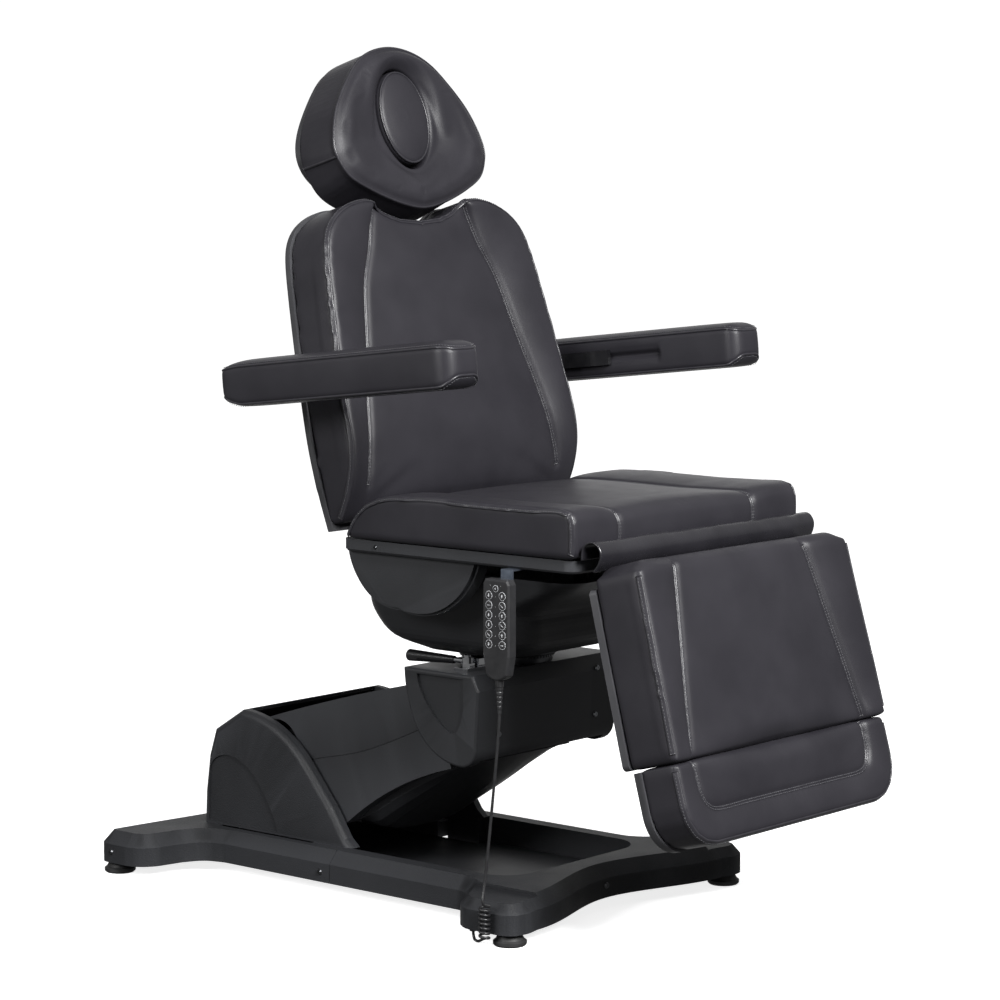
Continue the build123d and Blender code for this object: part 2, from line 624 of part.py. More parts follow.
def smooth_rows(rows, steps):
    """The rows with steps - 1 more between each two, on a smooth curve through them."""
    out = []
    for i in range(len(rows) - 1):
        b, c = rows[i], rows[i + 1]
        a = rows[i - 1] if i else [2 * p - q for p, q in zip(b, c)]
        d = rows[i + 2] if i + 2 < len(rows) else [2 * q - p for p, q in zip(b, c)]
        for step in range(steps):
            t = step / steps
            out.append(tuple(0.5 * (2 * q + (r - p) * t + (2 * p - 5 * q + 4 * r - s) * t * t
                                    + (3 * q - p - 3 * r + s) * t ** 3) for p, q, r, s in zip(a, b, c, d)))
    return out + [tuple(rows[-1])]


SHELL_ROWS = smooth_rows(SHELL_SECTIONS, 4)


def shell_layers(inset):
    """Rounded rectangles of the under shell from its floor to its rim, shrunk by inset."""
    layers = []
    for up, half_x, front, rear, radius in SHELL_ROWS:
        rise = inset if up == 0 else 0.1 if inset and up == SHELL_ROWS[-1][0] else 0
        with BuildSketch(Plane.XY.offset(SHELL_FLOOR + up + rise)) as layer:
            with Locations((0, (front + rear) / 2)):
                RectangleRounded(2 * (half_x - inset), rear - front - 2 * inset, radius - inset)
        layers.append(layer.sketch.faces()[0])
    return layers


with BuildPart() as under_shell:
    loft(shell_layers(0), ruled=True)
    loft(shell_layers(4), ruled=True, mode=Mode.SUBTRACT)
    with BuildSketch(Plane.XY.offset(SHELL_FLOOR)):
        with Locations((0, SWIVEL_Y)):
            Circle(62.2)
    extrude(amount=10, mode=Mode.SUBTRACT)
save(under_shell, "under_shell")

PLATE_Z = HUB_Z + 22
with BuildPart() as tilt_pedestal:
    block(-126, 126, -98, 66, PLATE_Z, PLATE_Z + 8)
    for side in (-1, 1):
        with BuildSketch(side_plane(side * 122 - 4)):
            with BuildLine():
                Polyline((-90, PLATE_Z + 8), (66, PLATE_Z + 8), (86, 592), (80, 611), (60, 611), (50, 592),
                         (-90, PLATE_Z + 30), (-90, PLATE_Z + 8))
            make_face()
        extrude(amount=8)
    bore(-130, 130, *TILT_PIVOT, 8.05)
save(tilt_pedestal, "tilt_pedestal")

# ---------------------------------------------------------------- seat
SEAT_TUBE_X = 100
LUG_X = 126                    # hinge lugs of the backrest and the leg rest
REAR_LUG = [(38, 619), (88, 619), (122, 640), (122, 656), (116, 662), (104, 662), (96, 656), (94, 641.5),
            (38, 641.5)]
FRONT_LUG = [(-352, 619), (-402, 619), (-447, 627), (-447, 645), (-435, 649), (-427, 647), (-421.5, 641.5),
             (-352, 641.5)]
with BuildPart() as seat_frame:
    for side in (-1, 1):
        x = side * SEAT_TUBE_X
        block(x - 15, x + 15, -402, 88, 618, TRAY_BOTTOM)
        for lug in (REAR_LUG, FRONT_LUG):
            with BuildSketch(side_plane(side * LUG_X - 4)):
                with BuildLine():
                    Polyline(*lug, lug[0])
                make_face()
            extrude(amount=8)
        near, far = sorted((x + side * 15, side * LUG_X))
        block(near, far, 42, 84, 622, 638)
        block(near, far, -398, -356, 622, 638)
    for y in (-340, -120, 20):
        block(-SEAT_TUBE_X, SEAT_TUBE_X, y - 12, y + 12, 622, 640)
    for side in (-1, 1):
        near, far = sorted((side * 128, side * 138))
        block(near, far, 48, 92, 586, TRAY_BOTTOM - 0.5)
    bore(-150, 150, *BACK_PIVOT, 7.05)
    bore(-150, 150, *LEG_PIVOT, 7.05)
    bore(-150, 150, *TILT_PIVOT, 8)
save(seat_frame, "seat_frame")

with BuildPart() as seat_tray:
    with BuildSketch(Plane.XY.offset(TRAY_BOTTOM)):
        with Locations((0, -157)):
            RectangleRounded(2 * 306, 526, 22)
    extrude(amount=TRAY_TOP - TRAY_BOTTOM)
    chamfer(edges().group_by(Axis.Z)[0], length=4)
    for side in (-1, 1):
        near, far = sorted((side * 117, side * 152))
        block(near, far, 84, 120, TRAY_BOTTOM - 1, TRAY_TOP + 1, Mode.SUBTRACT)
        for x, low in ((258, 0), (283, 5)):
            with BuildSketch(side_plane(side * x)):
                with BuildLine():
                    Line((-196 + low, TRAY_BOTTOM), (106 - low, TRAY_BOTTOM))
                    ThreePointArc((106 - low, TRAY_BOTTOM), (74 - low, 578 + low), (-15, 545 + low))
                    ThreePointArc((-15, 545 + low), (-120, 553 + low), (-196 + low, TRAY_BOTTOM))
                make_face()
            extrude(amount=side * (25 if low == 0 else 8))
save(seat_tray, "seat_tray")

with BuildPart() as tray_screws:
    screw_heads([(-306, 24, 653)], (-1, 0, 0), radius=4)
    screw_heads([(306, 24, 653)], (1, 0, 0), radius=4)
save(tray_screws, "tray_screws")

with BuildPart() as seat_cushion:
    with BuildSketch(side_plane(-SEAT_X)):
        with BuildLine():
            Polyline((SEAT_FRONT, SEAT_BOTTOM), (SEAT_FRONT, SEAT_TOP), (20, 740))
            ThreePointArc((20, 740), (72, 706), (SEAT_REAR - 4, SEAT_BOTTOM))
            Line((SEAT_REAR - 4, SEAT_BOTTOM), (SEAT_FRONT, SEAT_BOTTOM))
        make_face()
    extrude(amount=2 * SEAT_X)
save(seat_cushion, "seat_cushion")

with BuildPart() as hinge_pins:
    rod(-140, 140, *TILT_PIVOT, 8)
    for side in (-1, 1):
        rod(*sorted((side * 121, side * 149)), *BACK_PIVOT, 7)
        rod(*sorted((side * 121, side * 142)), *LEG_PIVOT, 7)
save(hinge_pins, "hinge_pins")

with BuildPart() as gap_flap:
    with BuildSketch(side_plane(-303)):
        with BuildLine():
            Spline((-431.5, 667), (-434.5, 687), (-447, 697), (-463, 696), (-473, 682), (-470, 664),
                   (-459, 648.5))
        trace(line_width=3)
    extrude(amount=606)
save(gap_flap, "gap_flap")

HOOK_X = -322
with BuildPart() as handset_hook:
    block(HOOK_X, -262, HANDSET_Y - 13, HANDSET_Y + 13, TRAY_BOTTOM - 2.5, TRAY_BOTTOM)
    block(HOOK_X, HOOK_X + 2.5, HANDSET_Y - 13, HANDSET_Y + 13, 596, TRAY_BOTTOM - 2.5)
    block(HOOK_X - 7, HOOK_X, HANDSET_Y - 13, HANDSET_Y + 13, 596, 598.5)
    block(HOOK_X - 7, HOOK_X - 5, HANDSET_Y - 13, HANDSET_Y + 13, 598.5, 618)
save(handset_hook, "handset_hook")

MOTOR_R = 30
with BuildPart() as seat_motors:
    for x, y, bar_y in ((-48, -130, -120), (48, -130, -120), (0, -12, 20)):
        with Locations(Location((x, y, 585), (90, 0, 0))):
            Cylinder(MOTOR_R, 110)
        block(x - 20, x + 20, bar_y - 10, bar_y + 10, 608, 622)
save(seat_motors, "seat_motors")

# ---------------------------------------------------------------- backrest
BACK_HALF = [(0, 487), (50, 491), (88, 502), (118, 519), (150, 524), (188, 518), (222, 504), (249, 484),
             (267, 458), (277, 425), (284, 385), (300, 250), (309, 150), (312, 80), (311, 30), (302, -48)]


def back_outline(grow=0.0, bottom=-48):
    """Outline of the backrest in its own plane: dipped top, round shoulders, slightly wider foot."""
    right = [(x + (grow if x > 0 else 0), v + (grow if v > 400 else 0)) for x, v in BACK_HALF]
    right[-1] = (right[-1][0], bottom)
    with BuildLine() as outline:
        Spline(*right, tangents=((1, 0), (-0.1, -1)))
        Spline(*[(-x, v) for x, v in right], tangents=((-1, 0), (0.1, -1)))
        Line(right[-1], (-right[-1][0], bottom))
    return outline.edges()


with BuildPart() as back_cushion:
    with BuildSketch(back_plane(-78)):
        make_face(back_outline(-1))
    extrude(amount=92)
    with BuildSketch(side_plane(-320)) as corner:
        with BuildLine():
            front, foot, depth = back_plane(16), back_plane(-30), back_plane(-78)
            tip = [front.from_local_coords(p) for p in ((0, 64), (0, -140))]
            low = [depth.from_local_coords(p) for p in ((0, -46), (0, -140))]
            mid = foot.from_local_coords((0, -12))
            Line((tip[0].Y, tip[0].Z), (tip[1].Y, tip[1].Z))
            Line((tip[1].Y, tip[1].Z), (low[1].Y, low[1].Z))
            Line((low[1].Y, low[1].Z), (low[0].Y, low[0].Z))
            ThreePointArc((low[0].Y, low[0].Z), (mid.Y, mid.Z), (tip[0].Y, tip[0].Z))
        make_face()
    extrude(amount=640, mode=Mode.SUBTRACT)
save(back_cushion, "back_cushion")

with BuildPart() as back_board:
    with BuildSketch(back_plane(-92)):
        make_face(back_outline(3, -50))
    extrude(amount=14)
    fillet(faces().sort_by(Axis((0, 0, 0), tuple(back_plane().z_dir)))[0].outer_wire().edges(), radius=4)
save(back_board, "back_board")


def panel_block(plane, x0, x1, v0, v1, thickness, mode=Mode.ADD):
    """A box on a leaning panel's plane, from that plane towards the back."""
    with BuildSketch(plane) as base:
        with Locations(((x0 + x1) / 2, (v0 + v1) / 2)):
            Rectangle(x1 - x0, v1 - v0)
    extrude(base.sketch, amount=-thickness, mode=mode)


BACK_TUBE_X = 200
BACK_HINGE = [(60, -92), (60, -112), (-60, -112), (-94, -84), (-94, -58), (-60, -56), (-54, -92)]
with BuildPart() as back_frame:
    for side in (-1, 1):
        x = side * BACK_TUBE_X
        panel_block(back_plane(-92), x - 15, x + 15, 20, 400, 18)
        near, far = sorted((side * 140, side * 148))
        hinge = [back_plane(n).from_local_coords((0, v)) for v, n in BACK_HINGE]
        with BuildSketch(side_plane(near)):
            with BuildLine():
                Polyline(*[(p.Y, p.Z) for p in hinge], (hinge[0].Y, hinge[0].Z))
            make_face()
        extrude(amount=far - near)
    for v in (34, 232, 386):
        panel_block(back_plane(-92), -BACK_TUBE_X, BACK_TUBE_X, v - 12, v + 12, 14)
    for x in (-60, 60):
        panel_block(back_plane(-92), x - 24, x + 24, 392, 440, 24)
    for x in (-60, 60):
        panel_block(back_plane(-96), x - 15.3, x + 15.3, 290, 445, 9, Mode.SUBTRACT)
    bore(-150, 150, *BACK_PIVOT, 7.05)
save(back_frame, "back_frame")

# ---------------------------------------------------------------- headrest
HEAD_HALF = [(0, 808), (53, 800), (98, 779), (136, 744), (173, 699), (194, 657), (203, 620), (197, 596),
             (176, 571), (132, 549), (84, 531), (40, 519), (0, 514)]


HEAD_REAR, HEAD_FACE = -76, 22  # depth of the headrest's cushion, from the backrest's plane
CHIN_DROP, CHIN_V, CHIN_RISE = 20, 514, 110  # its underside is lower at its rear, fading out above


def headrest_half(side, level, chin):
    """One half of the headrest's section at this depth, its underside lowered by chin."""
    half = [(side * x, v - chin * max(0, 1 - (v - CHIN_V) / CHIN_RISE)) for x, v in HEAD_HALF]
    with BuildSketch(back_plane(level)) as section:
        with BuildLine():
            Spline(*half, tangents=((side, 0), (-side, 0)))
            Line(half[-1], half[0])
        make_face()
    return section.sketch.faces()[0]


def headrest_outline(grow=0.0):
    """Outline of the headrest in the backrest's plane: round triangle, wide end down."""
    middle = 660
    right = [(x + (grow if x > 0 else 0), v + (grow if v > middle else -grow)) for x, v in HEAD_HALF]
    with BuildLine() as outline:
        Spline(*right, tangents=((1, 0), (-1, 0)))
        Spline(*[(-x, v) for x, v in right], tangents=((-1, 0), (1, 0)))
    return outline.edges()


OVAL_V, OVAL_X, OVAL_H = 677, 67, 90
with BuildPart() as headrest_cushion:
    for side in (-1, 1):
        loft([headrest_half(side, HEAD_REAR, CHIN_DROP), headrest_half(side, HEAD_FACE, 0)])
    with BuildSketch(back_plane(-76)):
        with Locations((0, OVAL_V)):
            Ellipse(OVAL_X, OVAL_H)
    extrude(amount=110, mode=Mode.SUBTRACT)
save(headrest_cushion, "headrest_cushion")

with BuildPart() as face_pillow:
    with BuildSketch(back_plane(-75.5)):
        with Locations((0, OVAL_V)):
            Ellipse(OVAL_X - 1, OVAL_H - 1)
    extrude(amount=100)
save(face_pillow, "face_pillow")

with BuildPart() as headrest_board:
    with BuildSketch(back_plane(-88)):
        make_face(headrest_outline(-4))
    extrude(amount=12)
    for x in (-28, 28):
        lug = [back_plane(n).from_local_coords((0, v)) for v, n in
               ((575, -88), (575, -96), (540, -111), (522, -111), (519, -90), (536, -88), (575, -88))]
        with BuildSketch(side_plane(x - 6)):
            with BuildLine():
                Polyline(*[(p.Y, p.Z) for p in lug])
            make_face()
        extrude(amount=12)
    with BuildSketch(back_plane(-90)):
        with Locations((0, OVAL_V)):
            Ellipse(OVAL_X - 12, OVAL_H - 12)
    extrude(amount=20, mode=Mode.SUBTRACT)
    hinge = back_plane(HEADREST_PIVOT[1]).from_local_coords((0, HEADREST_PIVOT[0]))
    bore(-50, 50, hinge.Y, hinge.Z, 5.05)
save(headrest_board, "headrest_board")

with BuildPart() as headrest_posts:
    for side in (-1, 1):
        x = side * 60
        panel_block(back_plane(-96.2), x - 15, x + 15, 300, 520, 8)
        knuckle = [back_plane(n).from_local_coords((0, v)) for v, n in
                   ((512, -96.2), (520, -92), (530, -90), (541, -94), (541, -106), (520, -110), (512, -104.2),
                    (512, -96.2))]
        with BuildSketch(side_plane(x - 15)):
            with BuildLine():
                Polyline(*[(p.Y, p.Z) for p in knuckle])
            make_face()
        extrude(amount=30)
    rod(-75, 75, hinge.Y, hinge.Z, 5)
save(headrest_posts, "headrest_posts")


# ---------------------------------------------------------------- armrests
def armrest_plane(x):
    """Plane along an armrest: local x runs to its rear, local y square to it upwards."""
    t = radians(ARMREST_TILT)
    return Plane(origin=(x, *ARMREST_FRONT), x_dir=(0, cos(t), -sin(t)), z_dir=(1, 0, 0))


ARM_HINGE = (440, 0)           # along the armrest from its front, and up
SLOT_START = 180
HINGE = armrest_plane(0).from_local_coords(ARM_HINGE)
for side, hand in ((-1, "right"), (1, "left")):
    inner_face = side * (ARMREST_X - ARMREST_W / 2)
    low, high = sorted((inner_face, side * (ARMREST_X + ARMREST_W / 2)))
    with BuildPart() as armrest_pad:
        with BuildSketch(armrest_plane(low)):
            with Locations((ARMREST_LENGTH / 2, 3)):
                RectangleRounded(ARMREST_LENGTH, 82, 14)
        extrude(amount=high - low)
        for depth, height in ((1.5, 30), (9, 12)):
            near, far = sorted((inner_face, inner_face + side * depth))
            with BuildSketch(armrest_plane(near)):
                with Locations(((SLOT_START + ARMREST_LENGTH) / 2 + 5, 0)):
                    Rectangle(ARMREST_LENGTH - SLOT_START + 10, height)
            extrude(amount=far - near, mode=Mode.SUBTRACT)
    save(armrest_pad, f"armrest_pad_{hand}")

    with BuildPart() as armrest_slider:
        for depth, length, height in ((8.7, 150, 11.4), (0.9, 170, 28)):
            near, far = sorted((inner_face - side * 8, inner_face + side * depth))
            with BuildSketch(armrest_plane(near)):
                with Locations((ARM_HINGE[0] - 60, 0)):
                    Rectangle(length, height)
            extrude(amount=far - near)
        bore(-450, 450, HINGE.Y, HINGE.Z, 8.05)
    save(armrest_slider, f"armrest_slider_{hand}")

with BuildPart() as armrest_brackets:
    for side in (-1, 1):
        inner_face = side * (ARMREST_X - ARMREST_W / 2)
        rod(*sorted((side * 324, inner_face + side * 1.0)), HINGE.Y, HINGE.Z, 8)
        near, far = sorted((side * 322, inner_face - side * 8.4))
        block(near, far, HINGE.Y - 16, HINGE.Y + 58, HINGE.Z - 14, HINGE.Z + 14)
        near, far = sorted((side * (BACK_TUBE_X + 15), side * 330))
        panel_block(back_plane(-95), near, far, 216, 246, 13)
save(armrest_brackets, "armrest_brackets")

# ---------------------------------------------------------------- leg rest
with BuildPart() as leg_cushion:
    with BuildSketch(leg_plane(-95)):
        with BuildLine():
            corners = [(-298, 4), (298, 4), (306, -314), (-306, -314)]
            Polyline(*corners, corners[0])
        make_face()
        fillet(vertices(), radius=10)
    extrude(amount=97)
save(leg_cushion, "leg_cushion")

with BuildPart() as leg_board:
    with BuildSketch(leg_plane(-109)):
        with BuildLine():
            corners = [(-299, -14), (299, -14), (307, -316), (-307, -316)]
            Polyline(*corners, corners[0])
        make_face()
        fillet(vertices(), radius=10)
    extrude(amount=13.8)
save(leg_board, "leg_board")

with BuildPart() as leg_frame:
    for side in (-1, 1):
        inner, outer = sorted((side * 131, side * 139))
        plate = [leg_plane(n).from_local_coords((0, v)) for v, n in
                 ((-16, -109), (-200, -109), (-200, -122), (0, -126), (18, -120), (20, -106), (8, -100),
                 (-2, -103),
                  (-10, -109), (-16, -109))]
        with BuildSketch(side_plane(inner)):
            with BuildLine():
                Polyline(*[(p.Y, p.Z) for p in plate])
            make_face()
        extrude(amount=outer - inner)
    for v in (-60, -190):
        panel_block(leg_plane(-109), -180, 180, v - 12, v + 12, 12)
    bore(-150, 150, *LEG_PIVOT, 7.05)
    for v in (-60, -190):
        panel_block(leg_plane(-110.9), -20.3, 20.3, v - 13, v + 13, 8.2, Mode.SUBTRACT)
save(leg_frame, "leg_frame")

with BuildPart() as foot_slide:
    panel_block(leg_plane(-111.2), -20, 20, -440, -40, 7.6)
    for v in (-360, -430):
        panel_block(leg_plane(-91.2), -60, 60, v - 10, v + 10, 20)
save(foot_slide, "foot_slide")

FOOT_TOP, FOOT_BOTTOM = -321, -460
with BuildPart() as foot_cushion:
    with BuildSketch(leg_plane(-76)):
        with BuildLine():
            Polyline((-302, -352), (-302, FOOT_TOP), (302, FOOT_TOP), (302, -390))
            ThreePointArc((302, -390), (283, -438), (234, FOOT_BOTTOM))
            Line((234, FOOT_BOTTOM), (-234, FOOT_BOTTOM))
            ThreePointArc((-234, FOOT_BOTTOM), (-283, -438), (-302, -390))
            Line((-302, -390), (-302, -352))
        make_face()
    extrude(amount=74)
save(foot_cushion, "foot_cushion")

with BuildPart() as foot_board:
    with BuildSketch(leg_plane(-91)):
        with BuildLine():
            Polyline((-304, -352), (-304, FOOT_TOP), (304, FOOT_TOP), (304, -390))
            ThreePointArc((304, -390), (285, -440), (234, FOOT_BOTTOM - 2))
            Line((234, FOOT_BOTTOM - 2), (-234, FOOT_BOTTOM - 2))
            ThreePointArc((-234, FOOT_BOTTOM - 2), (-285, -440), (-304, -390))
            Line((-304, -390), (-304, -352))
        make_face()
    extrude(amount=14.8)
    for x in (-284, 284):
        for v in (-345, -400):
            with BuildSketch(leg_plane(-91)) as knob:
                with Locations((x, v)):
                    Circle(7)
            extrude(knob.sketch, amount=-6)
save(foot_board, "foot_board")

# ---------------------------------------------------------------- handset
FACE = HANDSET_FACE_X
KEY_R, KEY_PITCH_Y, KEY_PITCH_Z, KEY_TOP_Z = 6.2, 29, 16.4, 601
KEYS = [(HANDSET_Y, KEY_TOP_Z + 12, 4.8)]
KEYS += [(HANDSET_Y + s * KEY_PITCH_Y / 2, KEY_TOP_Z - row * KEY_PITCH_Z, KEY_R)
         for row in range(6) for s in (1, -1)]
with BuildPart() as handset_body:
    with BuildSketch(side_plane(FACE)):
        with BuildLine():
            Polyline((HANDSET_Y - 23, HANDSET_BOTTOM + 10), (HANDSET_Y - 29, 500),
                     (HANDSET_Y - 29, HANDSET_TOP - 8),
                     (HANDSET_Y - 24, HANDSET_TOP), (HANDSET_Y + 24, HANDSET_TOP),
                     (HANDSET_Y + 29, HANDSET_TOP - 8),
                     (HANDSET_Y + 29, 500), (HANDSET_Y + 23, HANDSET_BOTTOM + 10))
            ThreePointArc((HANDSET_Y + 23, HANDSET_BOTTOM + 10), (HANDSET_Y, HANDSET_BOTTOM),
                          (HANDSET_Y - 23, HANDSET_BOTTOM + 10))
        make_face()
    extrude(amount=HANDSET_T)
    chamfer(faces().sort_by(Axis.X)[0].outer_wire().edges(), length=3)
    chamfer(faces().sort_by(Axis.X)[-1].outer_wire().edges(), length=2)
    for y, z, radius in KEYS:
        with BuildSketch(side_plane(FACE)):
            with Locations((y, z)):
                Circle(radius + 0.25)
        extrude(amount=3, mode=Mode.SUBTRACT)
    block(FACE + HANDSET_T - 1, HOOK_X - 2.5, HANDSET_Y - 8, HANDSET_Y + 8, 618.3, 622)
    block(HOOK_X - 4.6, HOOK_X - 2.5, HANDSET_Y - 8, HANDSET_Y + 8, 603, 618.3)
save(handset_body, "handset_body")

with BuildPart() as handset_keys:
    for y, z, radius in KEYS:
        with BuildSketch(side_plane(FACE - 0.8)) as cap:
            with Locations((y, z)):
                Circle(radius)
        extrude(cap.sketch, amount=2.6)
    fillet(edges().group_by(Axis.X)[0], radius=0.6)
save(handset_keys, "handset_keys")

RELIEF_X = FACE + HANDSET_T / 2
RELIEF_BOTTOM = 402
with BuildPart() as strain_relief:
    profile = [(0, HANDSET_BOTTOM), (7, HANDSET_BOTTOM), (7, 448)]
    for k in range(5):
        z, r = 446 - k * 8, 6.2 - 0.5 * k
        profile += [(r, z), (r, z - 4), (r - 1, z - 4), (r - 1, z - 7)]
    profile += [(3.6, RELIEF_BOTTOM), (0, RELIEF_BOTTOM), (0, HANDSET_BOTTOM)]
    with BuildSketch(Plane(origin=(RELIEF_X, HANDSET_Y, 0), x_dir=(1, 0, 0), z_dir=(0, -1, 0))):
        with BuildLine():
            Polyline(*profile)
        make_face()
    revolve(axis=Axis((RELIEF_X, HANDSET_Y, 0), (0, 0, 1)))
save(strain_relief, "strain_relief")


# ---------------------------------------------------------------- handset cord
def cord_tube(name, points, radius):
    """A round cord along straight runs joined by tangent arcs."""
    radii = corner_radii(points)
    with BuildPart() as tube:
        with BuildLine() as route:
            FilletPolyline(*points, radius=radii)
        with BuildSketch(Plane(origin=points[0], z_dir=Vector(*points[1]) - Vector(*points[0]))):
            Circle(radius)
        sweep(path=route.line)
    length = sum(edge.length for edge in route.edges())
    print(name, "radii", [round(r, 1) for r in radii], "length", round(length, 1),
          "volume share", round(tube.part.volume / (3.14159265 * radius ** 2 * length), 4))
    save(tube, name)


LEAD_ROUTE = [(RELIEF_X, HANDSET_Y, RELIEF_BOTTOM), (RELIEF_X, HANDSET_Y, 378), (COIL_X, COIL_Y, 98),
              (COIL_X, COIL_Y, COIL_TOP)]
cord_tube("handset_lead", LEAD_ROUTE, CORD_R)

with BuildPart() as curly_cord:
    with BuildSketch(Plane.XY.offset(COIL_BOTTOM)):
        with Locations((COIL_X, COIL_Y)):
            Circle(COIL_R)
    extrude(amount=COIL_TOP - COIL_BOTTOM)
save(curly_cord, "curly_cord")

GLAND_X, GLAND_Y = -322, -214
TAIL_R = 3
TAIL_ROUTE = [(GLAND_X, GLAND_Y, FLOOR_GAP - 5), (GLAND_X, GLAND_Y, 10), (GLAND_X - 6, GLAND_Y - 11, 4.5),
              (GLAND_X - 17, GLAND_Y - 28, 4), (COIL_X, COIL_Y, 8), (COIL_X, COIL_Y, COIL_BOTTOM)]
cord_tube("cord_tail", TAIL_ROUTE, TAIL_R)

with BuildPart() as cord_gland:
    with BuildSketch(Plane.XY.offset(FLOOR_GAP - 5)):
        with Locations((GLAND_X, GLAND_Y)):
            Circle(6)
    extrude(amount=5)
    chamfer(edges().group_by(Axis.Z)[0], length=1)
save(cord_gland, "cord_gland")
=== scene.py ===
import math

import bpy
import numpy as np
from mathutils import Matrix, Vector, noise
from mathutils.bvhtree import BVHTree
from mathutils.kdtree import KDTree


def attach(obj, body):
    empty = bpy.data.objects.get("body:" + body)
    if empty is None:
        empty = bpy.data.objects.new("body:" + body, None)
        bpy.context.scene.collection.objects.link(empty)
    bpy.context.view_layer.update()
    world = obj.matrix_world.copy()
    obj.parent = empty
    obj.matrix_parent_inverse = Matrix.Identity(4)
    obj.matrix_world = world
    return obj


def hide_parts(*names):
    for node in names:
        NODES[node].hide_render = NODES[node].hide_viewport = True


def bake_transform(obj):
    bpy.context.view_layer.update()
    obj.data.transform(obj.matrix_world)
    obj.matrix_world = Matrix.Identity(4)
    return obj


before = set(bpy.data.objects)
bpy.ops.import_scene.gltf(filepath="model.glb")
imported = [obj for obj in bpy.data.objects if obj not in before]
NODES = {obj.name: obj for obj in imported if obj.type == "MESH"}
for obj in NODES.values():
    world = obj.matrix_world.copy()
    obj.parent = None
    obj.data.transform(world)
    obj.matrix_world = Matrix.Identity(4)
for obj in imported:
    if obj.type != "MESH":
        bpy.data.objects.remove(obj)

MM = 0.001
SCENE = bpy.context.scene
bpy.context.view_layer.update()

# ---------------------------------------------------------------- camera
CAMERA_AT = (-4.255, -3.632, 1.300)
CAMERA_HEADING, CAMERA_DROP = -49.51, 5.99
camera = bpy.data.objects.new("camera", bpy.data.cameras.new("camera"))
camera.data.sensor_width = 36
camera.data.lens = 112.6
camera.location = CAMERA_AT
camera.rotation_euler = (math.radians(90 - CAMERA_DROP), 0, math.radians(CAMERA_HEADING))
SCENE.collection.objects.link(camera)
SCENE.camera = camera


# ---------------------------------------------------------------- handset cord
def nurbs_curve(name, points, radius):
    """A round cord whose centreline is one open NURBS spline with these control points, in mm."""
    data = bpy.data.curves.new(name, "CURVE")
    data.dimensions = "3D"
    spline = data.splines.new("NURBS")
    spline.points.add(len(points) - 1)
    for target, (x, y, z) in zip(spline.points, points):
        target.co = (x * MM, y * MM, z * MM, 1)
    spline.order_u = 3
    spline.use_endpoint_u = True
    spline.resolution_u = 6
    data.bevel_depth = radius * MM
    data.bevel_resolution = 4
    data.use_fill_caps = True
    curve = bpy.data.objects.new(name, data)
    SCENE.collection.objects.link(curve)
    return curve


CORD_R = 2.5
HELIX_AT, HELIX_R, HELIX_TOP, HELIX_BOTTOM, HELIX_TURNS, TURN_POINTS = (-347, -261), 8.2, 72, 16, 7.25, 12
cord_points = [(-341, -289, 402), (-341, -289, 378), (-349, -266, 128), (-355, -266, 100), (-363, -269.2, 78)]
helix_count = int(HELIX_TURNS * TURN_POINTS)
for step in range(helix_count + 1):
    share = step / helix_count
    turn = 2 * math.pi * HELIX_TURNS * share - math.pi / 2
    cord_points.append((HELIX_AT[0] + HELIX_R * math.cos(turn), HELIX_AT[1] + HELIX_R * math.sin(turn),
                        HELIX_TOP + (HELIX_BOTTOM - HELIX_TOP) * share))
cord_points += [(-339, -250, 12), (-336, -240, 6), (-329, -227, 3), (-322, -215, 5), (-322, -214, 17.5)]
cord = nurbs_curve("handset_cord", cord_points, CORD_R)


# ---------------------------------------------------------------- materials
TONE_RANGE, EDGE_POINTINESS, COAT_ROUGH = (0.3, 0.7), (0.52, 0.62), 0.25


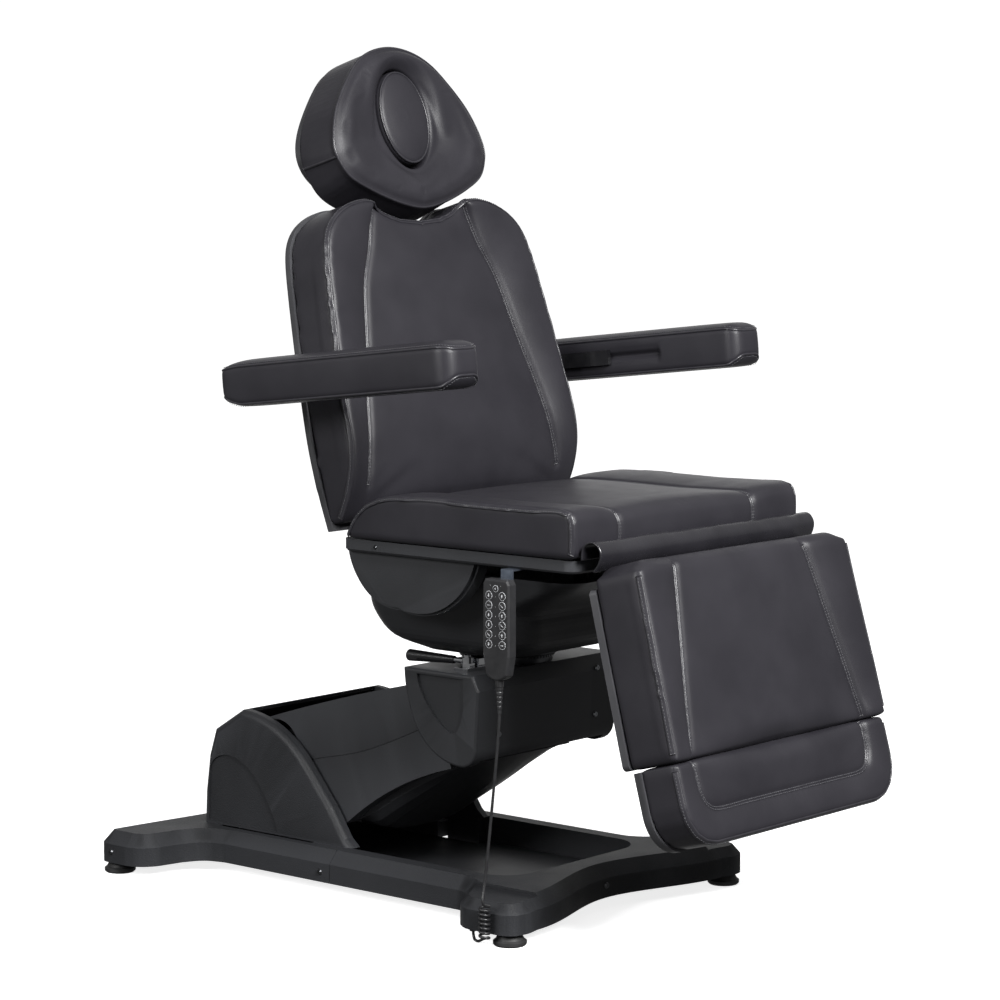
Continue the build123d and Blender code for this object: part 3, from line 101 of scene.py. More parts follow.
def node_material(name, dark, light, rough, grain, grain_size, bump, patch, cells=False, metallic=0.0,
                  rough_spread=0.08, edge=0.0, coat=0.0, specular=0.5, stretch=None):
    """A procedural finish: colour drifting between two tones, uneven roughness, a fine grain, lighter edges.

    grain is the relief's scale, grain_size its depth in mm, and cells makes it pebbled, like leather.
    """
    made = bpy.data.materials.new(name)
    made.use_nodes = True
    tree = made.node_tree
    shader = tree.nodes["Principled BSDF"]
    link = tree.links.new
    place = tree.nodes.new("ShaderNodeTexCoord").outputs["Object"]
    if stretch:
        mapping = tree.nodes.new("ShaderNodeMapping")
        mapping.inputs["Scale"].default_value = stretch
        link(place, mapping.inputs["Vector"])
        place = mapping.outputs["Vector"]

    def drift(scale, detail):
        texture = tree.nodes.new("ShaderNodeTexNoise")
        texture.inputs["Scale"].default_value = scale
        texture.inputs["Detail"].default_value = detail
        link(place, texture.inputs["Vector"])
        return texture.outputs["Fac"]

    broad = drift(patch, 3.0)
    tone = tree.nodes.new("ShaderNodeMix")
    tone.data_type = "RGBA"
    tone.inputs["A"].default_value = (*dark, 1)
    tone.inputs["B"].default_value = (*light, 1)
    spread = tree.nodes.new("ShaderNodeMapRange")
    spread.inputs["From Min"].default_value, spread.inputs["From Max"].default_value = TONE_RANGE
    link(broad, spread.inputs["Value"])
    link(spread.outputs["Result"], tone.inputs["Factor"])
    colour = tone.outputs["Result"]
    if edge > 0:
        point = tree.nodes.new("ShaderNodeNewGeometry").outputs["Pointiness"]
        worn = tree.nodes.new("ShaderNodeMapRange")
        worn.inputs["From Min"].default_value, worn.inputs["From Max"].default_value = EDGE_POINTINESS
        worn.inputs["To Max"].default_value = edge
        link(point, worn.inputs["Value"])
        lighten = tree.nodes.new("ShaderNodeMix")
        lighten.data_type = "RGBA"
        lighten.inputs["B"].default_value = (*[min(1, 4 * c) for c in light], 1)
        link(worn.outputs["Result"], lighten.inputs["Factor"])
        link(colour, lighten.inputs["A"])
        colour = lighten.outputs["Result"]
    link(colour, shader.inputs["Base Color"])
    gloss = tree.nodes.new("ShaderNodeMapRange")
    gloss.inputs["To Min"].default_value = max(0.02, rough - rough_spread)
    gloss.inputs["To Max"].default_value = rough + rough_spread
    link(drift(patch * 2.7, 5.0), gloss.inputs["Value"])
    link(gloss.outputs["Result"], shader.inputs["Roughness"])
    if cells:
        texture = tree.nodes.new("ShaderNodeTexVoronoi")
        texture.feature = "SMOOTH_F1"
        texture.inputs["Scale"].default_value = grain
        link(place, texture.inputs["Vector"])
        height = texture.outputs["Distance"]
    else:
        height = drift(grain, 2.0)
    relief = tree.nodes.new("ShaderNodeBump")
    relief.inputs["Strength"].default_value = bump
    relief.inputs["Distance"].default_value = grain_size * MM
    link(height, relief.inputs["Height"])
    link(relief.outputs["Normal"], shader.inputs["Normal"])
    shader.inputs["Metallic"].default_value = metallic
    shader.inputs["Coat Weight"].default_value = coat
    shader.inputs["Coat Roughness"].default_value = COAT_ROUGH
    shader.inputs["Specular IOR Level"].default_value = specular
    return made


LOOKS = {
    "leather": dict(dark=(0.0155, 0.0147, 0.0182), light=(0.0215, 0.0205, 0.0248), rough=0.42, grain=1500,
        grain_size=0.25, bump=0.35, cells=True, patch=9, rough_spread=0.06, specular=0.26),
    "leather_gloss": dict(dark=(0.0110, 0.0105, 0.0130), light=(0.0165, 0.0158, 0.0190), rough=0.28,
        grain=1300, grain_size=0.2, bump=0.25, cells=True, patch=14, coat=0.2),
    "welt": dict(dark=(0.0170, 0.0162, 0.0200), light=(0.0240, 0.0230, 0.0275), rough=0.34, grain=1500,
        grain_size=0.2, bump=0.3, cells=True, patch=60),
    "thread": dict(dark=(0.045, 0.045, 0.050), light=(0.110, 0.110, 0.118), rough=0.6, grain=3000,
        grain_size=0.3, bump=0.5, patch=500),
    "cover": dict(dark=(0.0150, 0.0156, 0.0173), light=(0.0220, 0.0227, 0.0250), rough=0.46, grain=620,
        grain_size=0.35, bump=0.6, patch=5, edge=0.3, specular=0.34),
    "cover_coarse": dict(dark=(0.0130, 0.0136, 0.0153), light=(0.0205, 0.0212, 0.0238), rough=0.50,
        grain=430, grain_size=0.7, bump=1.0, patch=6, edge=0.4, specular=0.32),
    # painted shade: the cover_coarse finish made darker and less glossy, standing in for the shade that falls
    # on the base covers under the chair
    "cover_base_painted_shade": dict(dark=(0.0080, 0.0084, 0.0094), light=(0.0130, 0.0135, 0.0150), rough=0.54, grain=430,
        grain_size=0.7, bump=1.0, patch=6, edge=0.4, specular=0.20),
    "paint": dict(dark=(0.020, 0.020, 0.022), light=(0.032, 0.032, 0.035), rough=0.38, grain=900,
        grain_size=0.2, bump=0.3, patch=20, edge=0.4, coat=0.2),
    "steel": dict(dark=(0.42, 0.43, 0.45), light=(0.60, 0.61, 0.63), rough=0.28, metallic=1.0, grain=800,
        grain_size=0.1, bump=0.2, patch=60, rough_spread=0.1, stretch=(1, 1, 0.2)),
    "dark_steel": dict(dark=(0.06, 0.062, 0.066), light=(0.12, 0.122, 0.128), rough=0.35, metallic=1.0,
        grain=700, grain_size=0.15, bump=0.25, patch=60),
    "screw": dict(dark=(0.26, 0.27, 0.29), light=(0.38, 0.39, 0.41), rough=0.3, metallic=1.0, grain=500,
        grain_size=0.1, bump=0.2, patch=80),
    "chrome": dict(dark=(0.62, 0.63, 0.65), light=(0.78, 0.79, 0.81), rough=0.10, metallic=1.0, grain=400,
        grain_size=0.1, bump=0.1, patch=80, rough_spread=0.05),
    "hook": dict(dark=(0.16, 0.19, 0.24), light=(0.26, 0.30, 0.37), rough=0.34, metallic=0.9, grain=900,
        grain_size=0.1, bump=0.3, patch=70, stretch=(0.3, 1, 1)),
    "rubber": dict(dark=(0.010, 0.010, 0.010), light=(0.020, 0.020, 0.021), rough=0.62, grain=900,
        grain_size=0.3, bump=0.5, patch=50),
    "gloss_black": dict(dark=(0.006, 0.006, 0.007), light=(0.011, 0.011, 0.012), rough=0.16, grain=500,
        grain_size=0.05, bump=0.15, patch=40, rough_spread=0.04, coat=0.5),
    "motor": dict(dark=(0.10, 0.10, 0.105), light=(0.15, 0.15, 0.155), rough=0.5, grain=700, grain_size=0.3,
        bump=0.5, patch=25),
    "board": dict(dark=(0.020, 0.020, 0.023), light=(0.032, 0.032, 0.035), rough=0.48, grain=1300,
        grain_size=0.25, bump=0.4, cells=True, patch=14, edge=0.2),
    "handset": dict(dark=(0.011, 0.011, 0.012), light=(0.017, 0.017, 0.018), rough=0.36, grain=1400,
        grain_size=0.15, bump=0.35, patch=60, edge=0.15),
    "key": dict(dark=(0.013, 0.013, 0.014), light=(0.022, 0.022, 0.023), rough=0.5, grain=1500,
        grain_size=0.2, bump=0.4, patch=200),
    "print": dict(dark=(0.42, 0.43, 0.45), light=(0.62, 0.63, 0.65), rough=0.6, grain=2500, grain_size=0.1,
        bump=0.3, patch=300),
    "cord": dict(dark=(0.009, 0.009, 0.010), light=(0.018, 0.018, 0.019), rough=0.38, grain=1200,
        grain_size=0.15, bump=0.4, patch=90),
}
FINISH = {name: node_material(name, **look) for name, look in LOOKS.items()}
NODE_FINISH = {
    "paint": ["base_frame", "pivot_brackets", "arm_bars", "link_bars", "head_frame", "tilt_pedestal",
              "seat_frame", "back_frame", "armrest_brackets", "leg_frame", "foot_slide"],
    "cover": ["arm_cover", "arm_belly", "head_shell", "head_caps", "under_shell", "seat_tray", "power_inlet",
              "base_pan", "control_box"],
    "cover_coarse": ["lift_housing", "cord_gland"],
    # the base covers take the darker copy of cover_coarse, which is painted shade
    "cover_base_painted_shade": ["base_front_cover", "base_rear_cover"],
    "steel": ["lift_shafts", "hinge_pins", "headrest_posts"],
    "dark_steel": ["ring_lower", "ring_upper", "base_screws", "tray_screws"],
    "screw": ["head_screws"],
    "chrome": ["swivel_bolts", "lever_clamp", "lever_hub"],
    "rubber": ["levelling_feet"],
    "hook": ["handset_hook"],
    "motor": ["seat_motors"],
    "board": ["back_board", "headrest_board", "leg_board", "foot_board"],
    "gloss_black": ["lever_handle", "armrest_slider_left", "armrest_slider_right"],
    "handset": ["handset_body"],
    "key": ["handset_keys"],
    "cord": ["strain_relief"],
}
for finish, names in NODE_FINISH.items():
    for node_name in names:
        node_mesh = NODES[node_name].data
        node_mesh.materials.clear()
        node_mesh.materials.append(FINISH[finish])

cord.data.materials.append(FINISH["cord"])
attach(cord, "base")
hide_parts("handset_lead", "curly_cord", "cord_tail")


# ---------------------------------------------------------------- tools for the upholstery
def tilted(oy, oz, degrees):
    """Local (x, v, n) in mm to the row frame in metres: v runs up the tilted pad, n out of its front."""
    sine, cosine = math.sin(math.radians(degrees)), math.cos(math.radians(degrees))

    def place(points):
        p = np.asarray(points, float)
        y = oy + sine * p[:, 1] - cosine * p[:, 2]
        return np.stack([p[:, 0], y, oz + cosine * p[:, 1] + sine * p[:, 2]], 1) * MM
    return place


def upright(points):
    """Local (x, y, z) in mm to the row frame in metres."""
    return np.asarray(points, float) * MM


BACK = tilted(62, 743, 15.3)
LEG = tilted(-546, 660, 15.5)
ARM_AT, ARM_TILT = (-265, 985), math.radians(6.2)


def arm_place(side):
    """Local (a, x, b) of an armrest pad: a back from its front end, x across, b up."""
    def place(points):
        p = np.asarray(points, float)
        y = ARM_AT[0] + p[:, 0] * math.cos(ARM_TILT) + p[:, 2] * math.sin(ARM_TILT)
        z = ARM_AT[1] - p[:, 0] * math.sin(ARM_TILT) + p[:, 2] * math.cos(ARM_TILT)
        return np.stack([side * p[:, 1], y, z], 1) * MM
    return place


def catmull(points, per=8, closed=False):
    """A smooth line through these points, per steps to a span."""
    p = np.asarray(points, float)
    count = len(p)
    out = []
    for i in range(count if closed else count - 1):
        if closed:
            a, b, c, d = (p[(i + k - 1) % count] for k in range(4))
        else:
            b, c = p[i], p[i + 1]
            a = p[i - 1] if i > 0 else 2 * b - c
            d = p[i + 2] if i + 2 < count else 2 * c - b
        for step in range(per):
            t = step / per
            out.append(0.5 * (2 * b + (c - a) * t + (2 * a - 5 * b + 4 * c - d) * t * t
                              + (3 * b - a - 3 * c + d) * t ** 3))
    if not closed:
        out.append(p[-1])
    return np.array(out)


def even(points, spacing, closed=False):
    """The same line with its points at an even spacing."""
    p = np.asarray(points, float)
    if closed:
        p = np.vstack([p, p[:1]])
    runs = np.linalg.norm(np.diff(p, axis=0), axis=1)
    along = np.concatenate([[0], np.cumsum(runs)])
    count = max(2, int(round(along[-1] / spacing)))
    want = np.linspace(0, along[-1], count + 1)
    if closed:
        want = want[:-1]
    return np.stack([np.interp(want, along, p[:, k]) for k in range(p.shape[1])], 1)


def mirrored(half):
    """A closed outline from its +x half, listed from the top middle down to the bottom."""
    left = [(-x, v) for x, v in reversed(half) if x > 0]
    return list(half) + left


def inset(outline, by):
    """The closed 2-D outline moved inwards by this much."""
    p = np.asarray(outline, float)
    tangent = np.roll(p, -1, 0) - np.roll(p, 1, 0)
    tangent /= np.maximum(np.linalg.norm(tangent, axis=1, keepdims=True), 1e-9)
    area = np.sum(p[:, 0] * np.roll(p[:, 1], -1) - np.roll(p[:, 0], -1) * p[:, 1])
    normal = np.stack([-tangent[:, 1], tangent[:, 0]], 1) * (1 if area > 0 else -1)
    return p + normal * by


def nearest(points, line):
    """Distance from each point to the nearest of the line's points."""
    p, q = np.asarray(points, float), np.asarray(line, float)
    out = np.empty(len(p))
    for start in range(0, len(p), 4000):
        part = p[start:start + 4000]
        out[start:start + 4000] = np.sqrt(((part[:, None, :] - q[None, :, :]) ** 2).sum(2)).min(1)
    return out


def smooth(t):
    """An eased step from 0 to 1."""
    t = np.clip(t, 0, 1)
    return t * t * (3 - 2 * t)


def mesh_object(name, verts, faces, finish):
    """A smooth-shaded mesh in this finish. Vertices in metres."""
    mesh = bpy.data.meshes.new(name)
    mesh.from_pydata([tuple(map(float, v)) for v in verts], [], [tuple(map(int, f)) for f in faces])
    mesh.update()
    mesh.shade_smooth()
    mesh.materials.append(FINISH[finish])
    made = bpy.data.objects.new(name, mesh)
    SCENE.collection.objects.link(made)
    return made


def loft(rings, loop=False):
    """Vertices and faces of a skin over closed rings of equal length."""
    size = len(rings[0])
    verts = np.vstack(rings)
    faces = []
    for r in range(len(rings) if loop else len(rings) - 1):
        a, b = r * size, ((r + 1) % len(rings)) * size
        for i in range(size):
            j = (i + 1) % size
            faces.append((a + i, a + j, b + j, b + i))
    if not loop:
        faces.append(tuple(reversed(range(size))))
        faces.append(tuple((len(rings) - 1) * size + i for i in range(size)))
    return verts, faces


def evaluated(obj):
    """The object's mesh with its modifiers applied."""
    graph = bpy.context.evaluated_depsgraph_get()
    return bpy.data.meshes.new_from_object(obj.evaluated_get(graph))


def coords(mesh):
    """The mesh's points as an array."""
    out = np.empty(len(mesh.vertices) * 3)
    mesh.vertices.foreach_get("co", out)
    return out.reshape(-1, 3)


def set_coords(mesh, points):
    """Moves the mesh's points to these places."""
    mesh.vertices.foreach_set("co", np.asarray(points, float).ravel())
    mesh.update()


def normals(mesh):
    """The direction that each of the mesh's points faces."""
    out = np.empty(len(mesh.vertices) * 3)
    mesh.vertex_normals.foreach_get("vector", out)
    return out.reshape(-1, 3)


def remeshed(obj, voxel):
    """An even skin over the object's closed shape."""
    change = obj.modifiers.new("even", "REMESH")
    change.mode = "VOXEL"
    change.voxel_size = voxel * MM
    mesh = evaluated(obj)
    obj.modifiers.clear()
    obj.data = mesh


CLOTH_FRAMES = 16
CLOTH_SETTINGS = dict(quality=4, mass=0.3, tension_stiffness=12, compression_stiffness=12,
                      bending_stiffness=0.6, use_pressure=True, uniform_pressure_force=4,
                      vertex_group_mass="sewn")


def inflate(obj, pinned, cap, share):
    """Swells the skin between its sewn lines, with Cloth under pressure. No point moves over cap mm."""
    start = coords(obj.data)
    group = obj.vertex_groups.new(name="sewn")
    group.add([int(i) for i in np.flatnonzero(pinned)], 1.0, "REPLACE")
    change = obj.modifiers.new("cloth", "CLOTH")
    for setting, value in CLOTH_SETTINGS.items():
        setattr(change.settings, setting, value)
    change.settings.effector_weights.gravity = 0
    change.point_cache.frame_start = 1
    change.point_cache.frame_end = CLOTH_FRAMES
    for at in range(1, CLOTH_FRAMES + 1):
        SCENE.frame_set(at)
    swollen = coords(evaluated(obj))
    SCENE.frame_set(1)
    obj.modifiers.clear()
    obj.vertex_groups.clear()
    move = swollen - start
    far = np.linalg.norm(move, axis=1, keepdims=True)
    move *= np.minimum(1, cap * MM / np.maximum(far, 1e-9)) * np.asarray(share).reshape(-1, 1)
    set_coords(obj.data, start + move)


def refined(obj):
    """A finer skin, smoothed over the object's own."""
    change = obj.modifiers.new("fine", "SUBSURF")
    change.levels = 1
    change.render_levels = 1
    mesh = evaluated(obj)
    obj.modifiers.clear()
    obj.data = mesh


RAY_BACK = 120


def surface_line(tree, path, toward):
    """The path laid onto the skin, in mm: each point slides along toward, or takes the nearest place."""
    spots, ups = [], []
    for point in path:
        hit = None
        if toward is not None:
            direction = Vector(toward)
            hit = tree.ray_cast((Vector(point) - direction * RAY_BACK) * MM, direction)
        if hit is None or hit[0] is None:
            hit = tree.find_nearest(Vector(point) * MM)
        spots.append(np.array(hit[0]) / MM)
        ups.append(np.array(hit[1]))
    return np.array(spots), np.array(ups)


def averaged(values, closed, times=2):
    """The line's values, each drawn towards its neighbours this many times."""
    v = np.asarray(values, float)
    for _ in range(times):
        before, after = np.roll(v, 1, 0), np.roll(v, -1, 0)
        if not closed:
            before[0], after[-1] = v[0], v[-1]
        v = (before + 2 * v + after) / 4
    return v


def ribbon(spots, ups, closed, profile):
    """A thin raised strip sewn along a line: profile is (across, height) pairs, in mm."""
    tangent = np.roll(spots, -1, 0) - np.roll(spots, 1, 0)
    if not closed:
        tangent[0], tangent[-1] = spots[1] - spots[0], spots[-1] - spots[-2]
    tangent /= np.maximum(np.linalg.norm(tangent, axis=1, keepdims=True), 1e-9)
    across = np.cross(tangent, ups)
    across /= np.maximum(np.linalg.norm(across, axis=1, keepdims=True), 1e-9)
    up = np.cross(across, tangent)
    rows = np.stack([spots + across * s + up * h for s, h in profile], 1)
    count, wide = len(spots), len(profile)
    faces = []
    for i in range(count if closed else count - 1):
        j = (i + 1) % count
        for k in range(wide):
            m = (k + 1) % wide
            faces.append((i * wide + k, i * wide + m, j * wide + m, j * wide + k))
    if not closed:
        faces.append(tuple(range(wide)))
        faces.append(tuple((count - 1) * wide + k for k in reversed(range(wide))))
    return rows.reshape(-1, 3), faces, tangent, across, up


WELT = [(-4.6, -1.8), (-4.2, 0.5), (-3.0, 1.5), (-1.6, 1.5), (-0.7, 0.4), (0.0, -0.8), (0.7, 0.4), (1.6, 1.5),
        (3.0, 1.5), (4.2, 0.5), (4.6, -1.8)]
EDGE_WELT = [(-2.4, -1.4), (-2.1, 0.9), (-1.1, 1.9), (0.0, 2.2), (1.1, 1.9), (2.1, 0.9), (2.4, -1.4)]
LAP = [(-2.6, -1.6), (-2.4, 1.2), (-1.4, 2.0), (0.4, 1.8), (4.2, 1.1), (7.4, 0.3), (8.0, -1.6)]
PIPE_R, PIPE_LIFT = 2.1, 0.6
PIPE = [(PIPE_R * math.cos(a * math.pi / 4), PIPE_LIFT + PIPE_R * math.sin(a * math.pi / 4))
        for a in range(7, -1, -1)]
PANEL_ROWS, LAP_ROW = [(2.3, 1.7), (-2.3, 1.7)], (4.6, 1.5)
STITCH_LONG, STITCH_STEP, STITCH_THICK = 3.4, 5.4, 0.55
INWARDS = (0, 0, -1)


def panel_seam(path, depth=3.4, width=7, toward=None):
    """A grooved double welt between two panels of a pad."""
    return dict(path=path, toward=toward, depth=depth, width=width, profile=WELT, rows=PANEL_ROWS)


def lap_seam(path, side):
    """A lapped seam along a pad's rim, its lap on the side given by the sign."""
    profile = LAP if side > 0 else [(-s, h) for s, h in reversed(LAP)]
    return dict(path=path, depth=1.6, width=6, profile=profile, rows=[(LAP_ROW[0] * side, LAP_ROW[1])])


def stitches(spots, tangent, across, up, offset, lift):
    """A row of short stitches beside a line."""
    verts, faces = [], []
    along = np.concatenate([[0], np.cumsum(np.linalg.norm(np.diff(spots, axis=0), axis=1))])
    for at in np.arange(STITCH_STEP, along[-1] - STITCH_STEP, STITCH_STEP):
        middle, way, side, out = (np.array([np.interp(at, along, line[:, k]) for k in range(3)])
                                  for line in (spots, tangent, across, up))
        middle = middle + side * offset + out * lift
        base = len(verts)
        for end, size in ((-0.5, 0.35), (-0.3, 1.0), (0.3, 1.0), (0.5, 0.35)):
            sink = -0.35 if abs(end) == 0.5 else 0.0
            for a in range(4):
                turn = math.pi / 2 * a + math.pi / 4
                verts.append(middle + way * end * STITCH_LONG + side * math.cos(turn) * STITCH_THICK * size
                             + out * (math.sin(turn) * STITCH_THICK * size + sink))
        for ring in range(3):
            for a in range(4):
                b = (a + 1) % 4
                lo, hi = base + ring * 4, base + ring * 4 + 4
                faces.append((lo + a, lo + b, hi + b, hi + a))
        faces.append((base + 3, base + 2, base + 1, base))
        faces.append((base + 12, base + 13, base + 14, base + 15))
    return verts, faces


def merged(parts):
    """One vertex list and face list from several."""
    verts, faces, base = [], [], 0
    for some, others in parts:
        verts.append(np.asarray(some, float).reshape(-1, 3))
        faces += [tuple(i + base for i in face) for face in others]
        base += len(verts[-1])
    return np.vstack(verts), faces


def dress(obj, place, body, seams, node, mirror=False):
    """Sinks each seam into the skin, lays its strip and stitches, and carries everything to its place."""
    mesh = obj.data
    points = coords(mesh)
    tree = BVHTree.FromPolygons([Vector(p) for p in points], [tuple(f.vertices) for f in mesh.polygons])
    laid = []
    for seam in seams:
        path = even(seam["path"], 3.0, seam.get("closed", False))
        spots, ups = surface_line(tree, path, seam.get("toward"))
        closed = seam.get("closed", False)
        laid.append((seam, averaged(spots, closed, 1), averaged(ups, closed, 3), closed))
    every = [(spot, seam["depth"], seam["width"]) for seam, spots, _, _ in laid for spot in spots]
    finder = KDTree(len(every))
    for index, (spot, _, _) in enumerate(every):
        finder.insert(spot * MM, index)
    finder.balance()
    out = normals(mesh)
    sink = np.zeros(len(points))
    for index, point in enumerate(points):
        _, found, far = finder.find(point)
        _, depth, width = every[found]
        if far < 4 * width * MM:
            sink[index] = depth * math.exp(-(far / (width * MM)) ** 2)
    set_coords(mesh, points - out * sink[:, None] * MM)
    strips, rows = [], []
    for seam, spots, ups, closed in laid:
        down = ups * seam["depth"] * 0.75
        verts, faces, tangent, across, up = ribbon(spots - down, ups, closed, seam["profile"])
        strips.append((verts, faces))
        for offset, lift in seam.get("rows", []):
            rows.append(stitches(spots - down, tangent, across, up, offset, lift))
    pieces = [obj]
    for label, parts, finish in (("seams", strips, "welt"), ("stitches", rows, "thread")):
        if parts:
            verts, faces = merged(parts)
            pieces.append(mesh_object(f"{obj.name}_{label}", verts * MM, faces, finish))
    for piece in pieces:
        set_coords(piece.data, place(coords(piece.data) / MM))
        if mirror:
            piece.data.flip_normals()
        piece.data.shade_smooth()
        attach(piece, body)
    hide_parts(node)


def pad(name, rings, voxel, shape, pins, cap, share, loop=False):
    """A closed crowned cushion: rings skinned, made even, shaped, swollen by Cloth and refined. In mm."""
    verts, faces = loft(rings, loop=loop)
    obj = mesh_object(name, verts * MM, faces, "leather")
    if voxel:
        remeshed(obj, voxel)
    points = shape(coords(obj.data) / MM)
    set_coords(obj.data, points * MM)
    inflate(obj, pins(points), cap, share(points))
    refined(obj)
    if not obj.data.materials:
        obj.data.materials.append(FINISH["leather"])
    return obj


def ring_at(outline, level):
    """The 2-D outline at this height."""
    return np.column_stack([outline, np.full(len(outline), level)])


def block_rings(outline, low, high, radius, count, steps=4):
    """Rings of an upright wall of this many levels, with its upper edge rounded."""
    wall = inset(outline, 0.0)
    rings = [ring_at(wall, level) for level in np.linspace(low, high - radius, count)]
    for step in range(1, steps + 1):
        turn = math.pi / 2 * step / steps
        by, below = radius * (1 - math.cos(turn)), radius * (1 - math.sin(turn))
        rings.append(ring_at(inset(outline, by), high - below))
    return rings


# ---------------------------------------------------------------- backrest
BACK_HALF = [(0, 487), (50, 491), (88, 502), (118, 519), (150, 524), (188, 518), (222, 504), (249, 484),
             (267, 458), (277, 425), (284, 385), (300, 250), (309, 150), (312, 80), (311, 30), (308, -20),
             (303, -40)]
BACK_TOP, BACK_REAR, PANEL_DROP = 16, -78, 17
BACK_SEAM_HALF = [(123, 512), (148, 440), (180, 369), (206, 260), (233, 160), (252, 60), (258, 20),
                  (261, -20)]


def back_face(v):
    """How far forward the cushion reaches at this height: its lower front curves back over the seat."""
    return BACK_TOP - 46 * np.maximum(0, (130 - np.asarray(v, float)) / 142) ** 2.5


back_side = catmull(BACK_HALF, 6)
back_outline = even(mirrored([tuple(p) for p in back_side]), 6.0, closed=True)
back_seam = catmull(BACK_SEAM_HALF, 8)
back_seam_both = np.vstack([back_seam, back_seam * (-1, 1)])


def panel_height(points, seam_half, outline, drop, crown, rise=1.35):
    """How far the front lies under its rim: a sunken panel, crowned, between seams with a bolster outside."""
    flat = points[:, :2]
    half = np.column_stack([np.abs(flat[:, 0]), flat[:, 1]])
    seam_x = np.interp(half[:, 1], seam_half[::-1, 1], seam_half[::-1, 0])
    to_seam = nearest(half, even(seam_half, 3.0))
    to_rim = nearest(flat, outline)
    outside = half[:, 0] > seam_x
    t = to_seam / np.maximum(to_seam + to_rim, 1e-6)
    bolster = np.sin(np.minimum(1, t * rise) * math.pi / 2) ** 0.85
    inner = crown * (1 - np.exp(-to_seam / 45.0))
    return np.where(outside, drop * (1 - bolster), drop - inner)


def back_shape(points):
    out = points.copy()
    drop = panel_height(points, back_seam, back_outline, PANEL_DROP, 5.0)
    out[:, 2] -= drop * smooth((points[:, 2] + 50) / 62) * smooth((points[:, 1] + 30) / 100)
    face = np.maximum(back_face(out[:, 1]), BACK_REAR + 8)
    out[:, 2] = BACK_REAR + (out[:, 2] - BACK_REAR) * (face - BACK_REAR) / (BACK_TOP - BACK_REAR)
    return out


rim_side = [(310, v, float(back_face(v)) - 1) for v in range(124, -40, -6)]
rim_front = [p for p in ring_at(inset(back_side, -2.0), BACK_TOP - 1) if p[1] > 128]
rim_path = np.vstack([np.array(rim_front), rim_side])


def back_pins(points):
    line = np.vstack([rim_path, rim_path * (-1, 1, 1)])
    near = nearest(points, line) < 9
    flat = nearest(points[:, :2], back_seam_both) < 7
    return near | flat | (points[:, 2] < BACK_REAR + 6)


back_pad = pad("back_pad", block_rings(back_outline, BACK_REAR, BACK_TOP, 9, 8), 6,
               back_shape, back_pins, 12, lambda p: np.where(p[:, 2] > -25, 0.8, 0.3))
seams = []
for side in (-1, 1):
    seams.append(panel_seam(ring_at(back_seam[back_seam[:, 1] > 10] * (side, 1), 0), toward=INWARDS))
    seams.append(lap_seam(rim_path * (side, 1, 1), -side))
dress(back_pad, BACK, "backrest", seams, "back_cushion")

# ---------------------------------------------------------------- headrest
HEAD_HALF = [(0, 808), (53, 800), (98, 779), (136, 744), (173, 699), (194, 657), (203, 620), (197, 596),
             (176, 571), (132, 549), (84, 531), (40, 519), (0, 514)]
head_outline = catmull(mirrored(HEAD_HALF), 6, closed=True)
OVAL_AT, OVAL_A, OVAL_B = 677, 66.5, 89.5
HEAD_COUNT = 300


def by_angle(outline, count, centre):
    """The outline sampled at even angles about a centre."""
    rel = outline - np.array(centre)
    angle = np.unwrap(np.arctan2(rel[:, 1], rel[:, 0]))
    if angle[-1] < angle[0]:
        rel, angle = rel[::-1], angle[::-1]
    rel, angle = np.vstack([rel, rel[:1]]), np.append(angle, angle[0] + 2 * math.pi)
    want = angle[0] + np.arange(count) * 2 * math.pi / count
    return np.stack([np.interp(want, angle, rel[:, k]) for k in (0, 1)], 1) + np.array(centre), want


head_ring, head_angles = by_angle(head_outline, HEAD_COUNT, (0, OVAL_AT))
oval_ring = np.stack([OVAL_A * np.cos(head_angles), OVAL_AT + OVAL_B * np.sin(head_angles)], 1)
HEAD_RIM, HEAD_REAR = 13, -76


def head_rings():
    rings = []
    for level in np.linspace(HEAD_REAR, HEAD_RIM - 6, 15):
        bulge = 2.0 * math.sin(math.pi * (level - HEAD_REAR) / (HEAD_RIM - HEAD_REAR))
        rings.append(ring_at(inset(head_ring, 1.5 - bulge), level))
    for by, level in ((0.6, 10), (2.5, 12.5), (6, 14.6)):
        rings.append(ring_at(inset(head_ring, by), level))
    start, finish = inset(head_ring, 6), oval_ring
    for step in range(1, 17):
        t = step / 17
        flat = start + (finish - start) * t
        height = 14.6 + 13.5 * math.sin(math.pi * min(1, t * 1.08) ** 0.8) ** 0.9 - 5.5 * t ** 3
        rings.append(ring_at(flat, height))
    for by, level in ((1.2, 5.5), (0.4, 1.0), (0, -5), (0, -20), (0, -40), (0, -60), (0, HEAD_REAR + 3)):
        rings.append(ring_at(inset(oval_ring, -by), level))
    for t in (0.05, 0.35, 0.65, 0.95):
        rings.append(ring_at(oval_ring + (head_ring - oval_ring) * t, HEAD_REAR))
    return rings


head_rim = ring_at(inset(head_ring, 1.0), HEAD_RIM - 1.0)
head_rim[:, 1] -= 7 * smooth((622 - head_rim[:, 1]) / 66)


def head_pins(points):
    inside = ((points[:, 0] / (OVAL_A + 6)) ** 2 + ((points[:, 1] - OVAL_AT) / (OVAL_B + 6)) ** 2) < 1
    return (nearest(points, head_rim) < 7) | inside | (points[:, 2] < HEAD_REAR + 5)


def head_drop(points):
    """Lowers the headrest's underside, most at its rear."""
    out = points.copy()
    lower = smooth((622 - points[:, 1]) / 66)
    out[:, 1] -= (7 + 17 * np.clip((HEAD_RIM - points[:, 2]) / (HEAD_RIM - HEAD_REAR), 0, 1)) * lower
    return out


